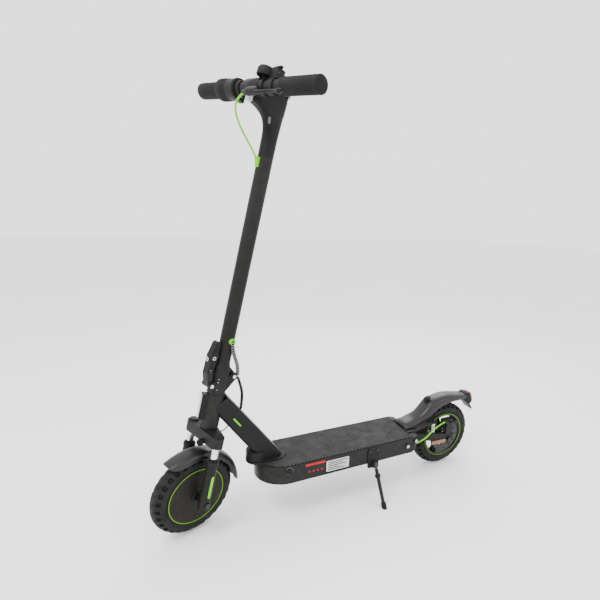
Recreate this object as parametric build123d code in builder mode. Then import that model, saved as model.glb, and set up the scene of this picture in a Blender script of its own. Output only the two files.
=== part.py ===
from build123d import *
import os
from math import cos, radians, sin, sqrt, tan

# Electric kick scooter, in millimetres.
# The frame's own axes: X forward from the rear axle, Y to the left, Z up from the ground.
# The steering's own axes: X forward of the steering axis, Y to the left, Z up along that axis.

# ---------------------------------------------------------------- driving dimensions
wheelbase = 918.0
tyre_radius = 125.0
tyre_width = 54.0
rim_radius = 89.0
hub_half_width = 24.0
axle_radius = 6.0

head_angle = 76.0  # steering axis above the horizontal, in degrees
rake = 10.0  # front axle ahead of the steering axis
steer_angle = 22.5  # how far the bar is turned to the left at rest
lean_angle = 1.0  # how far the scooter leans onto its stand

deck_half_width = 90.0
deck_bottom = 129.0
deck_top = 186.0
deck_rear = 165.0
deck_nose = 730.0
deck_wall = 3.0
deck_top_wall = 4.0
cover_thickness = 4.0
mat_thickness = 3.0

stem_radius = 20.0
stem_wall = 3.0
head_tube_radius = 24.5
head_tube_bore = 20.0
head_tube_low = 212.0
head_tube_high = 312.0
steerer_radius = 15.0
hinge_level = 366.0  # height of the folding hinge along the steering axis
hinge_back = 36.0  # folding hinge behind the steering axis
head_seam = 958.0  # where the stem tube ends and the stem head begins

bar_forward = 69.0
bar_height = 1095.0
bar_radius = 15.9
bar_half_length = 222.0
grip_radius = 18.5

leg_spread = 61.0
leg_radius = 16.0
stanchion_radius = 11.0
fork_travel = 18.0
crown_low = 174.0
crown_high = 206.0

pivot_x = 180.0  # swing arm pivot
pivot_z = 172.0
arm_inner = 50.0
arm_outer = 58.0

stand_x = 350.0
stand_pivot_y = 103.0
stand_pivot_z = 126.0
stand_splay = 30.0

# ---------------------------------------------------------------- clearances
run_gap = 0.05  # shaft in a hole that turns on it
slide_gap = 0.05  # rod in a tube that slides on it
face_gap = 0.5  # flat faces that pass each other
clamp_gap = 0.02  # clamp around the bar
touch_gap = 0.3  # parts of different bodies that rest near each other

# ---------------------------------------------------------------- where each group stands
tread_radius = tyre_width / 2
steer_tilt = 90.0 - head_angle
side_tilt = sin(radians(steer_angle)) * sin(radians(steer_tilt))
level_tilt = sqrt(1 - side_tilt**2)
front_axle_z = (tyre_radius - tread_radius) * level_tilt + tread_radius
steer_base_x = wheelbase - rake * cos(radians(steer_tilt))
steer_base_z = front_axle_z - rake * cos(radians(steer_angle)) * sin(radians(steer_tilt))

tail_reach = 141.0  # rear end of the mudguard behind the rear axle
front_reach = wheelbase + tyre_radius * cos(radians(steer_angle)) + 3.0
centre_x = (front_reach - tail_reach) / 2
centre_y = bar_forward * sin(radians(steer_angle)) + tan(radians(lean_angle)) * bar_height * 0.97

frame_place = Pos(-centre_x, -centre_y, 0) * Rot(X=-lean_angle)
steering_in_frame = Pos(steer_base_x, 0, steer_base_z) * Rot(Y=-steer_tilt) * Rot(Z=steer_angle)
steering_place = frame_place * steering_in_frame
rear_wheel_place = frame_place * Pos(0, 0, tyre_radius)
front_wheel_place = steering_place * Pos(rake, 0, 0)
bar_place = steering_place * Pos(bar_forward, 0, bar_height)
lever_droop = 36.0  # how far the brake lever's plane points below straight ahead
lever_place = bar_place * Rot(Y=lever_droop)

os.makedirs("parts", exist_ok=True)


def save(builder, label, place):
    """Write one finished piece, set where its group stands."""
    piece = place * builder.part
    piece.label = label
    export_step(piece, f"parts/{label}.step")


def tube_y(radius, bore, low, high):
    """A plain tube along Y, between two side distances."""
    with BuildPart() as tube:
        with BuildSketch(Plane.XZ.offset(-high)):
            Circle(radius)
            if bore > 0:
                Circle(bore, mode=Mode.SUBTRACT)
        extrude(amount=high - low)
    return tube.part


def turned_y(outline):
    """A closed outline of (radius, side) points turned about the Y axis."""
    with BuildPart() as turned:
        with BuildSketch(Plane.XY):
            with BuildLine():
                Polyline(*outline, close=True)
            make_face()
        revolve(axis=Axis.Y)
    return turned.part


def link_y(circles, low, high):
    """A plate across Y whose side view wraps circles given as (x, z, radius)."""
    with BuildPart() as plate:
        with BuildSketch(Plane.XZ.offset(-high)):
            for x, z, radius in circles:
                with Locations((x, z)):
                    Circle(radius)
            make_hull()
        extrude(amount=high - low)
    return plate.part


def block(x_range, y_range, z_range):
    """A plain block between three pairs of limits."""
    size = [high - low for low, high in (x_range, y_range, z_range)]
    middle = [(high + low) / 2 for low, high in (x_range, y_range, z_range)]
    return Pos(*middle) * Box(*size, mode=Mode.PRIVATE)


def bend_radii(points):
    """The largest tangent arc at each inner point that leaves a tenth of its shorter run straight."""
    radii = []
    for before, here, after in zip(points, points[1:], points[2:]):
        run_in = Vector(*here) - Vector(*before)
        run_out = Vector(*after) - Vector(*here)
        turn = radians(run_in.get_angle(run_out))
        radii.append(0.45 * min(run_in.length, run_out.length) / tan(turn / 2))
    return radii


def cable(points, radius, label):
    """A cable through hand-set points: straight runs joined by tangent arcs."""
    radii = bend_radii(points)
    print(label, "bend radii", [round(r, 1) for r in radii])
    with BuildPart() as tube:
        with BuildLine() as route:
            FilletPolyline(*points, radius=radii)
        start = Plane(origin=points[0], z_dir=Vector(*points[1]) - Vector(*points[0]))
        with BuildSketch(start):
            Circle(radius)
        sweep()
    length = route.wire().length
    section = 3.14159265 * radius**2
    print(label, "length", round(length, 1), "volume ratio", round(tube.part.volume / (section * length), 4))
    return tube


# ---------------------------------------------------------------- cables
barrel_x = 36.0  # where the brake cable leaves its perch, in the lever's own plane
clip_low = 929.0
clip_high = 953.0
grommet_z = 470.0
cable_radius = 2.5
wrap_radius = 4.0
lead_radius = 1.8

barrel_end = Pos(bar_forward, 0, bar_height) * Rot(Y=lever_droop) * Pos(barrel_x, 0, 0)
barrel_at = barrel_end.position
front_route = [
    (barrel_at.X, 5, barrel_at.Z + 1),
    (barrel_at.X + 1, -19, 1062),
    (barrel_at.X - 1, -26, 1038),
    (80, -19, 1006),
    (48, -8, 973),
    (stem_radius + 5, 0, clip_high - 6),
]
front_cable = cable(front_route, cable_radius, "front_brake_cable")
save(front_cable, "front_brake_cable", steering_place)

upper_route = [
    (-1, stem_radius + 1.5, grommet_z + 3),
    (-4, stem_radius + 7, 448),
    (-22, stem_radius + 3, 422),
    (-45, 14, 394),
    (-57, 5, 366),
]
upper_wrap = cable(upper_route, wrap_radius, "upper_cable_wrap")
save(upper_wrap, "upper_cable_wrap", steering_place)

lower_start = (steering_in_frame * Pos(-59.5, 3.5, 360)).position
lower_route = [
    (lower_start.X, lower_start.Y, lower_start.Z),
    (lower_start.X - 7, -11, 428),
    (lower_start.X - 8, -5, 398),
    (767, 0, 362),
]
lower_wrap = cable(lower_route, wrap_radius, "lower_cable_wrap")
save(lower_wrap, "lower_cable_wrap", frame_place)

lead_start = (steering_in_frame * Pos(-head_tube_radius - 3.4, 0, 185)).position
lead_route = [
    (lead_start.X, lead_start.Y, lead_start.Z),
    (lead_start.X - 18, -7, lead_start.Z + 3),
    (lead_start.X - 32, -3, lead_start.Z + 16),
    (798, 0, 330),
]
motor_lead = cable(lead_route, lead_radius, "motor_lead")
save(motor_lead, "motor_lead", frame_place)

rear_route = [
    (180, 84, 155),
    (136, 81, 160),
    (98, 71, 178),
    (62, 63, 193),
    (29.5, 60.5, 200),
]
rear_cable = cable(rear_route, cable_radius, "rear_brake_cable")
save(rear_cable, "rear_brake_cable", frame_place)

# ---------------------------------------------------------------- wheels
def tyre(width_at_bead):
    """A solid tyre with a round tread, about the Y axis."""
    shoulder = tyre_radius - tread_radius
    with BuildPart() as ring:
        with BuildSketch(Plane.XY):
            with BuildLine():
                Line((rim_radius, -width_at_bead), (rim_radius, width_at_bead))
                Line((rim_radius, width_at_bead), (shoulder, tread_radius))
                ThreePointArc((shoulder, tread_radius), (tyre_radius, 0), (shoulder, -tread_radius))
                Line((shoulder, -tread_radius), (rim_radius, -width_at_bead))
            make_face()
        revolve(axis=Axis.Y)
    return ring


bearing_radius = 16.0
bearing_width = 9.0
boss_radius = 24.0
hub_wall = 5.0
seat_depth = 11.0

for tyre_name, tyre_place in (("front_tyre", front_wheel_place), ("rear_tyre", rear_wheel_place)):
    save(tyre(hub_half_width - 2), tyre_name, tyre_place)

hub_seat = hub_half_width - seat_depth


def add_bearings():
    """Press the two ball bearings of a wheel into the hub being built."""
    for side in (-1, 1):
        faces = sorted((side * hub_seat, side * (hub_seat + bearing_width)))
        add(tube_y(bearing_radius, axle_radius + run_gap, *faces))


hub_inner = hub_half_width - hub_wall
drum_inner = rim_radius - 10.0
with BuildPart() as front_hub:
    add(
        turned_y(
            [
                (bearing_radius, hub_seat),
                (bearing_radius, hub_half_width),
                (rim_radius, hub_half_width),
                (rim_radius, -hub_half_width),
                (bearing_radius, -hub_half_width),
                (bearing_radius, -hub_seat),
                (boss_radius, -hub_seat),
                (boss_radius, -hub_inner),
                (drum_inner, -hub_inner),
                (drum_inner, hub_inner),
                (boss_radius, hub_inner),
                (boss_radius, hub_seat),
            ]
        )
    )
    add_bearings()
save(front_hub, "front_hub", front_wheel_place)

stator_radius = 74.0
stator_half_width = 13.0
with BuildPart() as stator:
    add(tube_y(stator_radius, stator_radius - 22, -stator_half_width, stator_half_width))
    add(tube_y(20.0, axle_radius, -stator_half_width + 2, stator_half_width - 2))
    for spoke in range(6):
        add(Rot(Y=60 * spoke) * block((15, stator_radius - 15), (-8, 8), (-5, 5)))
    with BuildSketch(Plane.XZ.offset(-20)):
        Circle(axle_radius)
    extrude(amount=40, mode=Mode.SUBTRACT)
save(stator, "motor_stator", front_wheel_place)

rim_depth = 10.0
spoke_count = 5
disc_seat = 8.5
with BuildPart() as rear_rim:
    add(tube_y(rim_radius, rim_radius - rim_depth, -hub_half_width, hub_half_width))
    add(tube_y(boss_radius, bearing_radius, -hub_half_width, hub_half_width + disc_seat))
    for spoke in range(spoke_count):
        arm = block((boss_radius - 4, rim_radius - rim_depth / 2), (-9, 9), (-9, 9))
        add(Rot(Y=360 / spoke_count * spoke) * arm)
    with BuildSketch(Plane.XZ.offset(-60)):
        Circle(bearing_radius)
    extrude(amount=120, mode=Mode.SUBTRACT)
    add_bearings()
save(rear_rim, "rear_rim", rear_wheel_place)

disc_radius = 60.0
disc_thickness = 2.0
disc_inner_face = hub_half_width + disc_seat
with BuildPart() as brake_disc:
    add(tube_y(disc_radius, bearing_radius + 2, disc_inner_face, disc_inner_face + disc_thickness))
    with BuildSketch(Plane.XZ.offset(-60)):
        with PolarLocations(50, 12):
            Circle(3.5)
        with PolarLocations(34, 6):
            Circle(7)
    extrude(amount=60, mode=Mode.SUBTRACT)
save(brake_disc, "brake_disc", rear_wheel_place)

# ---------------------------------------------------------------- front fork, moving part
axle_half = leg_spread + leg_radius - 2
stanchion_low = 78.0
leg_top = 135.0
leg_low = -18.0
spring_seat = 18.0
with BuildPart() as fork_legs:
    for side in (-1, 1):
        with BuildSketch(Plane.XY.offset(leg_low)):
            with Locations((rake, side * leg_spread)):
                Circle(leg_radius)
        extrude(amount=leg_top - leg_low)
        with BuildSketch(Plane.XY.offset(leg_top - 12)):
            with Locations((rake, side * leg_spread)):
                Circle(leg_radius + 1.5)
        extrude(amount=10)
        tab = (leg_spread - leg_radius - 13.6, leg_spread - leg_radius + 2)
        add(block((rake - 11, rake + 11), sorted((side * tab[0], side * tab[1])), (114, 126)))
    for side in (-1, 1):
        with BuildSketch(Plane.XY.offset(spring_seat)):
            with Locations((rake, side * leg_spread)):
                Circle(stanchion_radius + slide_gap)
        extrude(amount=leg_top - spring_seat + 1, mode=Mode.SUBTRACT)
    with BuildSketch(Plane.XZ.offset(-200)):
        with Locations((rake, 0)):
            Circle(axle_radius)
    extrude(amount=400, mode=Mode.SUBTRACT)
save(fork_legs, "fork_legs", steering_place)

spacer_radius = 9.0
with BuildPart() as front_axle:
    with BuildSketch(Plane.XZ.offset(-axle_half)):
        Circle(axle_radius)
    extrude(amount=2 * axle_half)
    for side in (-1, 1):
        inner = side * (hub_half_width + touch_gap - 2)
        outer = side * (leg_spread - leg_radius)
        add(tube_y(spacer_radius, axle_radius - 1, min(inner, outer), max(inner, outer)))
        with BuildSketch(Plane.XZ.offset(-side * (leg_spread + leg_radius))):
            RegularPolygon(8.5, 6)
        extrude(amount=-5 * side)
save(front_axle, "front_axle", front_wheel_place)

guard_inner = 141.0
guard_wall = 3.0
guard_half = 30.5
guard_skirt = 120.0
guard_front = 43.0
guard_rear = -80.0
with BuildPart() as front_fender:
    start = Plane(origin=(0, 0, 0), x_dir=(sin(radians(guard_front)), 0, cos(radians(guard_front))),
                  z_dir=(-cos(radians(guard_front)), 0, sin(radians(guard_front))))
    with BuildSketch(start):
        with BuildLine():
            Polyline(
                (guard_skirt, guard_half),
                (guard_inner + guard_wall - 8, guard_half),
                (guard_inner + guard_wall, guard_half - 9),
                (guard_inner + guard_wall, 9 - guard_half),
                (guard_inner + guard_wall - 8, -guard_half),
                (guard_skirt, -guard_half),
                (guard_skirt, guard_wall - guard_half),
                (guard_inner - 7, guard_wall - guard_half),
                (guard_inner, 11 - guard_half),
                (guard_inner, guard_half - 11),
                (guard_inner - 7, guard_half - guard_wall),
                (guard_skirt, guard_half - guard_wall),
                close=True,
            )
        make_face()
    revolve(axis=Axis.Y, revolution_arc=guard_rear - guard_front)
save(front_fender, "front_fender", front_wheel_place)

with BuildPart() as fork_springs:
    for side in (-1, 1):
        with Locations((rake, side * leg_spread, (spring_seat + stanchion_low) / 2)):
            Cylinder(9, stanchion_low - spring_seat)
            Cylinder(6.5, stanchion_low - spring_seat, mode=Mode.SUBTRACT)
save(fork_springs, "fork_springs", steering_place)

# ---------------------------------------------------------------- steerer, crown and folding base
with BuildPart() as fork_crown:
    with BuildSketch(Plane.XY.offset(crown_low)):
        Circle(head_tube_radius + 2)
        with Locations((rake, leg_spread), (rake, -leg_spread)):
            Circle(leg_radius + 2)
        make_hull()
    extrude(amount=crown_high - crown_low)
    with BuildSketch(Plane.XY.offset(crown_high)):
        Circle(steerer_radius)
    extrude(amount=334 - crown_high)
    with BuildSketch(Plane.XY.offset(crown_low)):
        with Locations((rake, leg_spread), (rake, -leg_spread)):
            Circle(stanchion_radius)
    extrude(amount=crown_high - crown_low, mode=Mode.SUBTRACT)
    with BuildSketch(Plane.XY.offset(crown_low)):
        Circle(steerer_radius - 4)
    extrude(amount=334 - crown_low, mode=Mode.SUBTRACT)
    with BuildSketch(Plane.XY.offset(crown_high)):
        with Locations((rake, leg_spread), (rake, -leg_spread)):
            Circle(leg_radius - 2)
    extrude(amount=5, taper=15)
save(fork_crown, "fork_crown", steering_place)

with BuildPart() as stanchions:
    with BuildSketch(Plane.XY.offset(stanchion_low)):
        with Locations((rake, leg_spread), (rake, -leg_spread)):
            Circle(stanchion_radius)
            Circle(stanchion_radius - 2.5, mode=Mode.SUBTRACT)
    extrude(amount=crown_high - stanchion_low)
save(stanchions, "stanchions", steering_place)

headset_flange = 23.0
with BuildPart() as headset_bearings:
    for low, high, flange_low, flange_high in (
        (head_tube_low, head_tube_low + 12, crown_high + face_gap, head_tube_low),
        (head_tube_high - 12, head_tube_high, head_tube_high, head_tube_high + 1.5),
    ):
        with BuildSketch(Plane.XY.offset(low)):
            Circle(head_tube_bore)
            Circle(steerer_radius + run_gap, mode=Mode.SUBTRACT)
        extrude(amount=high - low)
        with BuildSketch(Plane.XY.offset(flange_low)):
            Circle(headset_flange)
            Circle(steerer_radius + run_gap, mode=Mode.SUBTRACT)
        extrude(amount=flange_high - flange_low)
save(headset_bearings, "headset_bearings", frame_place * Pos(steer_base_x, 0, steer_base_z) * Rot(Y=-steer_tilt))

base_low = head_tube_high + 2.0
knuckle_radius = 12.0
pin_radius = 4.0
ear_inner = 7.0
ear_outer = 16.0
lever_pin_x = 33.0
lever_pin_z = 340.0
lever_half = 11.8
clevis_outer = 18.0
with BuildPart() as fold_base:
    with BuildSketch(Plane.XY.offset(base_low)):
        with Locations((2, 0)):
            RectangleRounded(44, 44, 14)
    extrude(amount=hinge_level - face_gap - base_low)
    for side in (-1, 1):
        rear = sorted((side * ear_inner, side * ear_outer))
        add(link_y([(-hinge_back, hinge_level, knuckle_radius), (-14, 346, 8), (-14, 330, 8)], *rear))
        front = sorted((side * (lever_half + face_gap), side * clevis_outer))
        add(link_y([(lever_pin_x, lever_pin_z, 8), (14, 348, 6), (14, 330, 6)], *front))
    with BuildSketch(Plane.XY.offset(base_low)):
        Circle(steerer_radius)
    extrude(amount=334 - base_low, mode=Mode.SUBTRACT)
    with BuildSketch(Plane.XZ.offset(-60)):
        with Locations((-hinge_back, hinge_level), (lever_pin_x, lever_pin_z)):
            Circle(pin_radius)
    extrude(amount=120, mode=Mode.SUBTRACT)
save(fold_base, "fold_base", steering_place)

with BuildPart() as hinge_pins:
    for x, z, half in ((-hinge_back, hinge_level, ear_outer), (lever_pin_x, lever_pin_z, clevis_outer)):
        with BuildSketch(Plane.XZ.offset(-half)):
            with Locations((x, z)):
                Circle(pin_radius)
        extrude(amount=2 * half)
        for side in (-1, 1):
            with BuildSketch(Plane.XZ.offset(-half * side)):
                with Locations((x, z)):
                    Circle(6.5)
            extrude(amount=-2.5 * side)
save(hinge_pins, "hinge_pins", steering_place)

horn_back = 30.0
horn_side = 20.0
horn_level = 174.0
horn_radius = 10.0
with BuildPart() as horn:
    with BuildSketch(Plane.YZ.offset(horn_back)):
        with Locations((horn_side, horn_level)):
            Circle(horn_radius)
    extrude(amount=8)
    with BuildSketch(Plane.YZ.offset(horn_back + 8)):
        with Locations((horn_side, horn_level)):
            Circle(horn_radius - 1.5)
    extrude(amount=2, taper=20)
    add(block((14, horn_back), (horn_side - 4, horn_side + 4), (horn_level - 3, horn_level + 12)))
    add(fork_crown.part, mode=Mode.SUBTRACT)
save(horn, "horn", steering_place)

# ---------------------------------------------------------------- stem
with BuildPart() as stem_tube:
    with BuildSketch(Plane.XY.offset(hinge_level)):
        with Locations((2, 0)):
            RectangleRounded(44, 44, 14)
    extrude(amount=26)
    with BuildSketch(Plane.XY.offset(hinge_level + 26)):
        with Locations((2, 0)):
            RectangleRounded(44, 44, 14)
    with BuildSketch(Plane.XY.offset(hinge_level + 40)):
        Circle(stem_radius)
    loft()
    with BuildSketch(Plane.XY.offset(hinge_level + 40)):
        Circle(stem_radius)
    extrude(amount=head_seam - hinge_level - 40)
    with BuildSketch(Plane.XY.offset(hinge_level + 10)):
        Circle(stem_radius - stem_wall)
    extrude(amount=head_seam - hinge_level - 10, mode=Mode.SUBTRACT)
    middle = ear_inner - touch_gap
    add(link_y([(-hinge_back, hinge_level, knuckle_radius - 0.5), (-14, 392, 6), (-14, 384, 6)], -middle, middle))
    with BuildSketch(Plane.XY.offset(hinge_level + 10)):
        Circle(stem_radius - stem_wall)
    extrude(amount=40, mode=Mode.SUBTRACT)
    with BuildSketch(Plane.XZ.offset(-60)):
        with Locations((-hinge_back, hinge_level)):
            Circle(pin_radius + run_gap)
    extrude(amount=120, mode=Mode.SUBTRACT)
    add(upper_wrap.part, mode=Mode.SUBTRACT)
save(stem_tube, "stem_tube", steering_place)

head_half = 17.0
head_low = 1010.0
head_top = 1112.0
beak_front = 80.0
ring_radius = 20.0
ring_half = 21.0
with BuildPart() as stem_head:
    with BuildSketch(Plane.XZ.offset(-head_half)):
        with BuildLine():
            Line((0, head_low), (stem_radius - 2, 1022))
            RadiusArc((stem_radius - 2, 1022), (54, 1062), 40)
            Line((54, 1062), (beak_front, 1058))
            Line((beak_front, 1058), (beak_front, 1082))
            Line((beak_front, 1082), (62, head_top))
            Line((62, head_top), (-26, head_top))
            Line((-26, head_top), (-26, 1060))
            Line((-26, 1060), (0, head_low))
        make_face()
    extrude(amount=2 * head_half)
    with BuildSketch(Plane.XY.offset(head_low)):
        with Locations((head_half - 26, 0)):
            Circle(head_half)
        with Locations((beak_front - 10, 0)):
            RectangleRounded(20, 2 * head_half, 4)
        make_hull()
    extrude(amount=head_top - head_low, mode=Mode.INTERSECT)
    with BuildSketch(Plane.XY.offset(head_seam)):
        Circle(stem_radius)
    extrude(amount=1090 - head_seam)
    add(Pos(bar_forward, 0, bar_height) * tube_y(ring_radius, 0, -ring_half, ring_half))
    with BuildSketch(Plane.XY.offset(head_seam)):
        Circle(stem_radius - stem_wall)
    extrude(amount=1074 - head_seam, mode=Mode.SUBTRACT)
    with BuildSketch(Plane.XZ.offset(-60)):
        with Locations((bar_forward, bar_height)):
            Circle(bar_radius)
    extrude(amount=120, mode=Mode.SUBTRACT)
save(stem_head, "stem_head", steering_place)

with BuildPart() as headlight_lens:
    with BuildSketch(Plane.YZ.offset(beak_front)):
        with Locations((0, 1068)):
            RectangleRounded(27, 15, 5)
    extrude(amount=3, taper=12)
save(headlight_lens, "headlight_lens", steering_place)

display_high = head_top + 10.0
button_radius = 5.0
button_x = -14.0
with BuildPart() as display:
    with BuildSketch(Plane.XY.offset(head_top)):
        with Locations((6, 0)):
            RectangleRounded(64, 46, 10)
    extrude(amount=display_high - head_top, taper=8)
    with BuildSketch(Plane.XY.offset(head_top + 4)):
        with Locations((button_x, 0)):
            Circle(button_radius + slide_gap)
    extrude(amount=20, mode=Mode.SUBTRACT)
save(display, "display", steering_place)

with BuildPart() as power_button:
    with BuildSketch(Plane.XY.offset(head_top + 6)):
        with Locations((button_x, 0)):
            Circle(button_radius)
    extrude(amount=6)
save(power_button, "power_button", steering_place)

with BuildPart() as handlebar:
    add(tube_y(bar_radius, bar_radius - 2, -bar_half_length, bar_half_length))
save(handlebar, "handlebar", bar_place)

left_grip_inner = 104.0
right_grip_inner = 134.0
with BuildPart() as grips:
    for side, inner, flare in ((1, left_grip_inner, 3.5), (-1, right_grip_inner, 1.5)):
        end = bar_half_length + 2.5
        add(
            turned_y(
                [
                    (bar_radius, side * inner),
                    (grip_radius, side * inner),
                    (grip_radius + 0.5, side * (end - 60)),
                    (grip_radius + flare, side * (end - 8)),
                    (grip_radius + flare - 2, side * end),
                    (0, side * end),
                    (0, side * bar_half_length),
                    (bar_radius, side * bar_half_length),
                ]
            )
        )
save(grips, "grips", bar_place)

housing_radius = 24.0
throttle_outer = 132.5
throttle_inner = 108.3
with BuildPart() as throttle_housing:
    add(tube_y(housing_radius, bar_radius, -throttle_inner + touch_gap, -60))
    add(tube_y(grip_radius + 0.5, bar_radius, -60, -44))
save(throttle_housing, "throttle_housing", bar_place)

with BuildPart() as throttle_paddle:
    add(tube_y(housing_radius + 1, bar_radius + run_gap, -throttle_outer, -throttle_inner))
    add(Rot(Y=-4) * block((-52, -housing_radius + 2), (-130, -111), (-6, 2)))
save(throttle_paddle, "throttle_paddle", bar_place)

perch_low = 18.0
perch_high = 31.0
lever_pivot_x = 37.0
lever_pivot_y = 31.0
with BuildPart() as brake_perch:
    add(tube_y(ring_radius, 0, perch_low + 3.3, perch_high))
    add(block((14, 46), (perch_low + 3.3, perch_high), (-8.5, 8.5)))
    add(block((27, 46), (10, 40), (-8.5, 8.5)))
    with BuildSketch(Plane.XZ.offset(-10)):
        with Locations((barrel_x, 0)):
            Circle(7)
    extrude(amount=10)
    add(block((26, 60), (20, 60), (-4.3, 4.3)), mode=Mode.SUBTRACT)
    with BuildSketch(Plane.XZ.offset(-60)):
        Circle(bar_radius)
    extrude(amount=120, mode=Mode.SUBTRACT)
    with BuildSketch(Plane.XY.offset(-10)):
        with Locations((lever_pivot_x, lever_pivot_y)):
            Circle(3)
    extrude(amount=20)
    in_lever = (Pos(bar_forward, 0, bar_height) * Rot(Y=lever_droop)).inverse()
    add(in_lever * front_cable.part, mode=Mode.SUBTRACT)
save(brake_perch, "brake_perch", lever_place)

with BuildPart() as brake_lever:
    for first, second in (
        ((lever_pivot_x, lever_pivot_y, 8), (44, 62, 5)),
        ((44, 62, 5), (42, 105, 4.5)),
        ((42, 105, 4.5), (46, 137, 6.5)),
    ):
        with BuildSketch(Plane.XY.offset(-4)):
            for x, y, radius in (first, second):
                with Locations((x, y)):
                    Circle(radius)
            make_hull()
        extrude(amount=8)
    with BuildSketch(Plane.XY.offset(-20)):
        with Locations((lever_pivot_x, lever_pivot_y)):
            Circle(3 + run_gap)
    extrude(amount=40, mode=Mode.SUBTRACT)
save(brake_lever, "brake_lever", lever_place)

bell_y = 39.0
bell_forward = 7.0
bell_radius = 21.0
bell_neck_radius = 7.0
striker_y = 72.0
with BuildPart() as bell:
    add(tube_y(ring_radius - 0.5, 0, bell_y - 7, bell_y + 7))
    with BuildSketch(Plane.XY.offset(12)):
        with Locations((bell_forward, bell_y)):
            Circle(bell_neck_radius)
    extrude(amount=12)
    with BuildSketch(Plane.XY.offset(20.5)):
        with Locations((bell_forward, bell_y)):
            Circle(bell_radius)
    extrude(amount=18, taper=8)
    add(tube_y(ring_radius - 0.5, 0, striker_y - 10, striker_y + 8))
    add(block((-11, 11), (striker_y - 13, striker_y + 11), (15, 38)))
    with BuildSketch(Plane.XZ.offset(-120)):
        Circle(bar_radius + clamp_gap)
    extrude(amount=240, mode=Mode.SUBTRACT)
save(bell, "bell", bar_place)

with BuildPart() as bell_striker:
    with BuildSketch(Plane.XY.offset(38 + touch_gap)):
        with Locations((0, striker_y - 6)):
            Circle(6)
        with Locations((4, striker_y + 14)):
            Circle(4)
        make_hull()
    extrude(amount=4)
save(bell_striker, "bell_striker", bar_place)

with BuildPart() as cable_grommets:
    with BuildSketch(Plane.XZ.offset(-5)):
        with BuildLine():
            Polyline(
                (stem_radius - 3, clip_low),
                (stem_radius + 3, clip_low),
                (stem_radius + 10, clip_high),
                (stem_radius - 3, clip_high),
                close=True,
            )
        make_face()
    extrude(amount=10)
    add(Pos(-1, 0, grommet_z) * tube_y(9, 0, stem_radius - 3, stem_radius + 5))
    with BuildSketch(Plane.XY.offset(440)):
        Circle(stem_radius)
    extrude(amount=head_seam - 440, mode=Mode.SUBTRACT)
    add(front_cable.part, mode=Mode.SUBTRACT)
    add(upper_wrap.part, mode=Mode.SUBTRACT)
save(cable_grommets, "cable_grommets", steering_place)

# ---------------------------------------------------------------- folding lever and its catch
with BuildPart() as fold_lever:
    half = lever_half
    add(link_y([(lever_pin_x, lever_pin_z, 7.8), (42, 376, 8)], -half, half))
    add(link_y([(42, 376, 8), (36, 425, 12)], -half + 1, half - 1))
    add(link_y([(36, 425, 12), (32, 457, 8)], -9, 9))
    add(link_y([(42, 385, 5), (29.5, 382, 5)], -5, 5))
    with BuildSketch(Plane.XZ.offset(-60)):
        with Locations((lever_pin_x, lever_pin_z)):
            Circle(pin_radius + run_gap)
    extrude(amount=120, mode=Mode.SUBTRACT)
save(fold_lever, "fold_lever", steering_place)

catch_z = 414.0
catch_face = 49.3
with BuildPart() as safety_catch:
    with BuildSketch(Plane.YZ.offset(catch_face)):
        with Locations((0, catch_z)):
            Circle(6)
            Circle(3, mode=Mode.SUBTRACT)
    extrude(amount=2.5)
save(safety_catch, "safety_catch", steering_place)

# ---------------------------------------------------------------- frame: head tube and down tube
unsteered_place = frame_place * Pos(steer_base_x, 0, steer_base_z) * Rot(Y=-steer_tilt)
unsteered_in_frame = Pos(steer_base_x, 0, steer_base_z) * Rot(Y=-steer_tilt)
boss_front = 38.0
strip_low = 238.0
strip_high = 306.0
with BuildPart() as head_tube:
    with BuildSketch(Plane.XY.offset(head_tube_low)):
        Circle(head_tube_radius)
    extrude(amount=head_tube_high - head_tube_low)
    add(block((0, boss_front), (-12, 12), (strip_low - 5, strip_high + 3)))
    with BuildSketch(Plane.XY.offset(head_tube_low)):
        Circle(head_tube_bore)
    extrude(amount=head_tube_high - head_tube_low, mode=Mode.SUBTRACT)
save(head_tube, "head_tube", unsteered_place)

with BuildPart() as front_reflector:
    with BuildSketch(Plane.YZ.offset(boss_front)):
        with Locations((0, (strip_low + strip_high) / 2)):
            RectangleRounded(20, strip_high - strip_low, 4)
    extrude(amount=3)
save(front_reflector, "front_reflector", unsteered_place)

deck_front_centre = deck_nose - deck_half_width


def deck_outline(inset):
    """The deck's plan: straight sides, a half-round nose and two rounded rear corners."""
    half = deck_half_width - inset
    corner = 22.0 - inset
    rear = deck_rear + inset
    with BuildSketch() as plan:
        with BuildLine():
            Line((rear + corner, -half), (deck_front_centre, -half))
            ThreePointArc((deck_front_centre, -half), (deck_front_centre + half, 0), (deck_front_centre, half))
            Line((deck_front_centre, half), (rear + corner, half))
            RadiusArc((rear + corner, half), (rear, half - corner), -corner)
            Line((rear, half - corner), (rear, corner - half))
            RadiusArc((rear, corner - half), (rear + corner, -half), -corner)
        make_face()
    return plan.sketch


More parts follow.
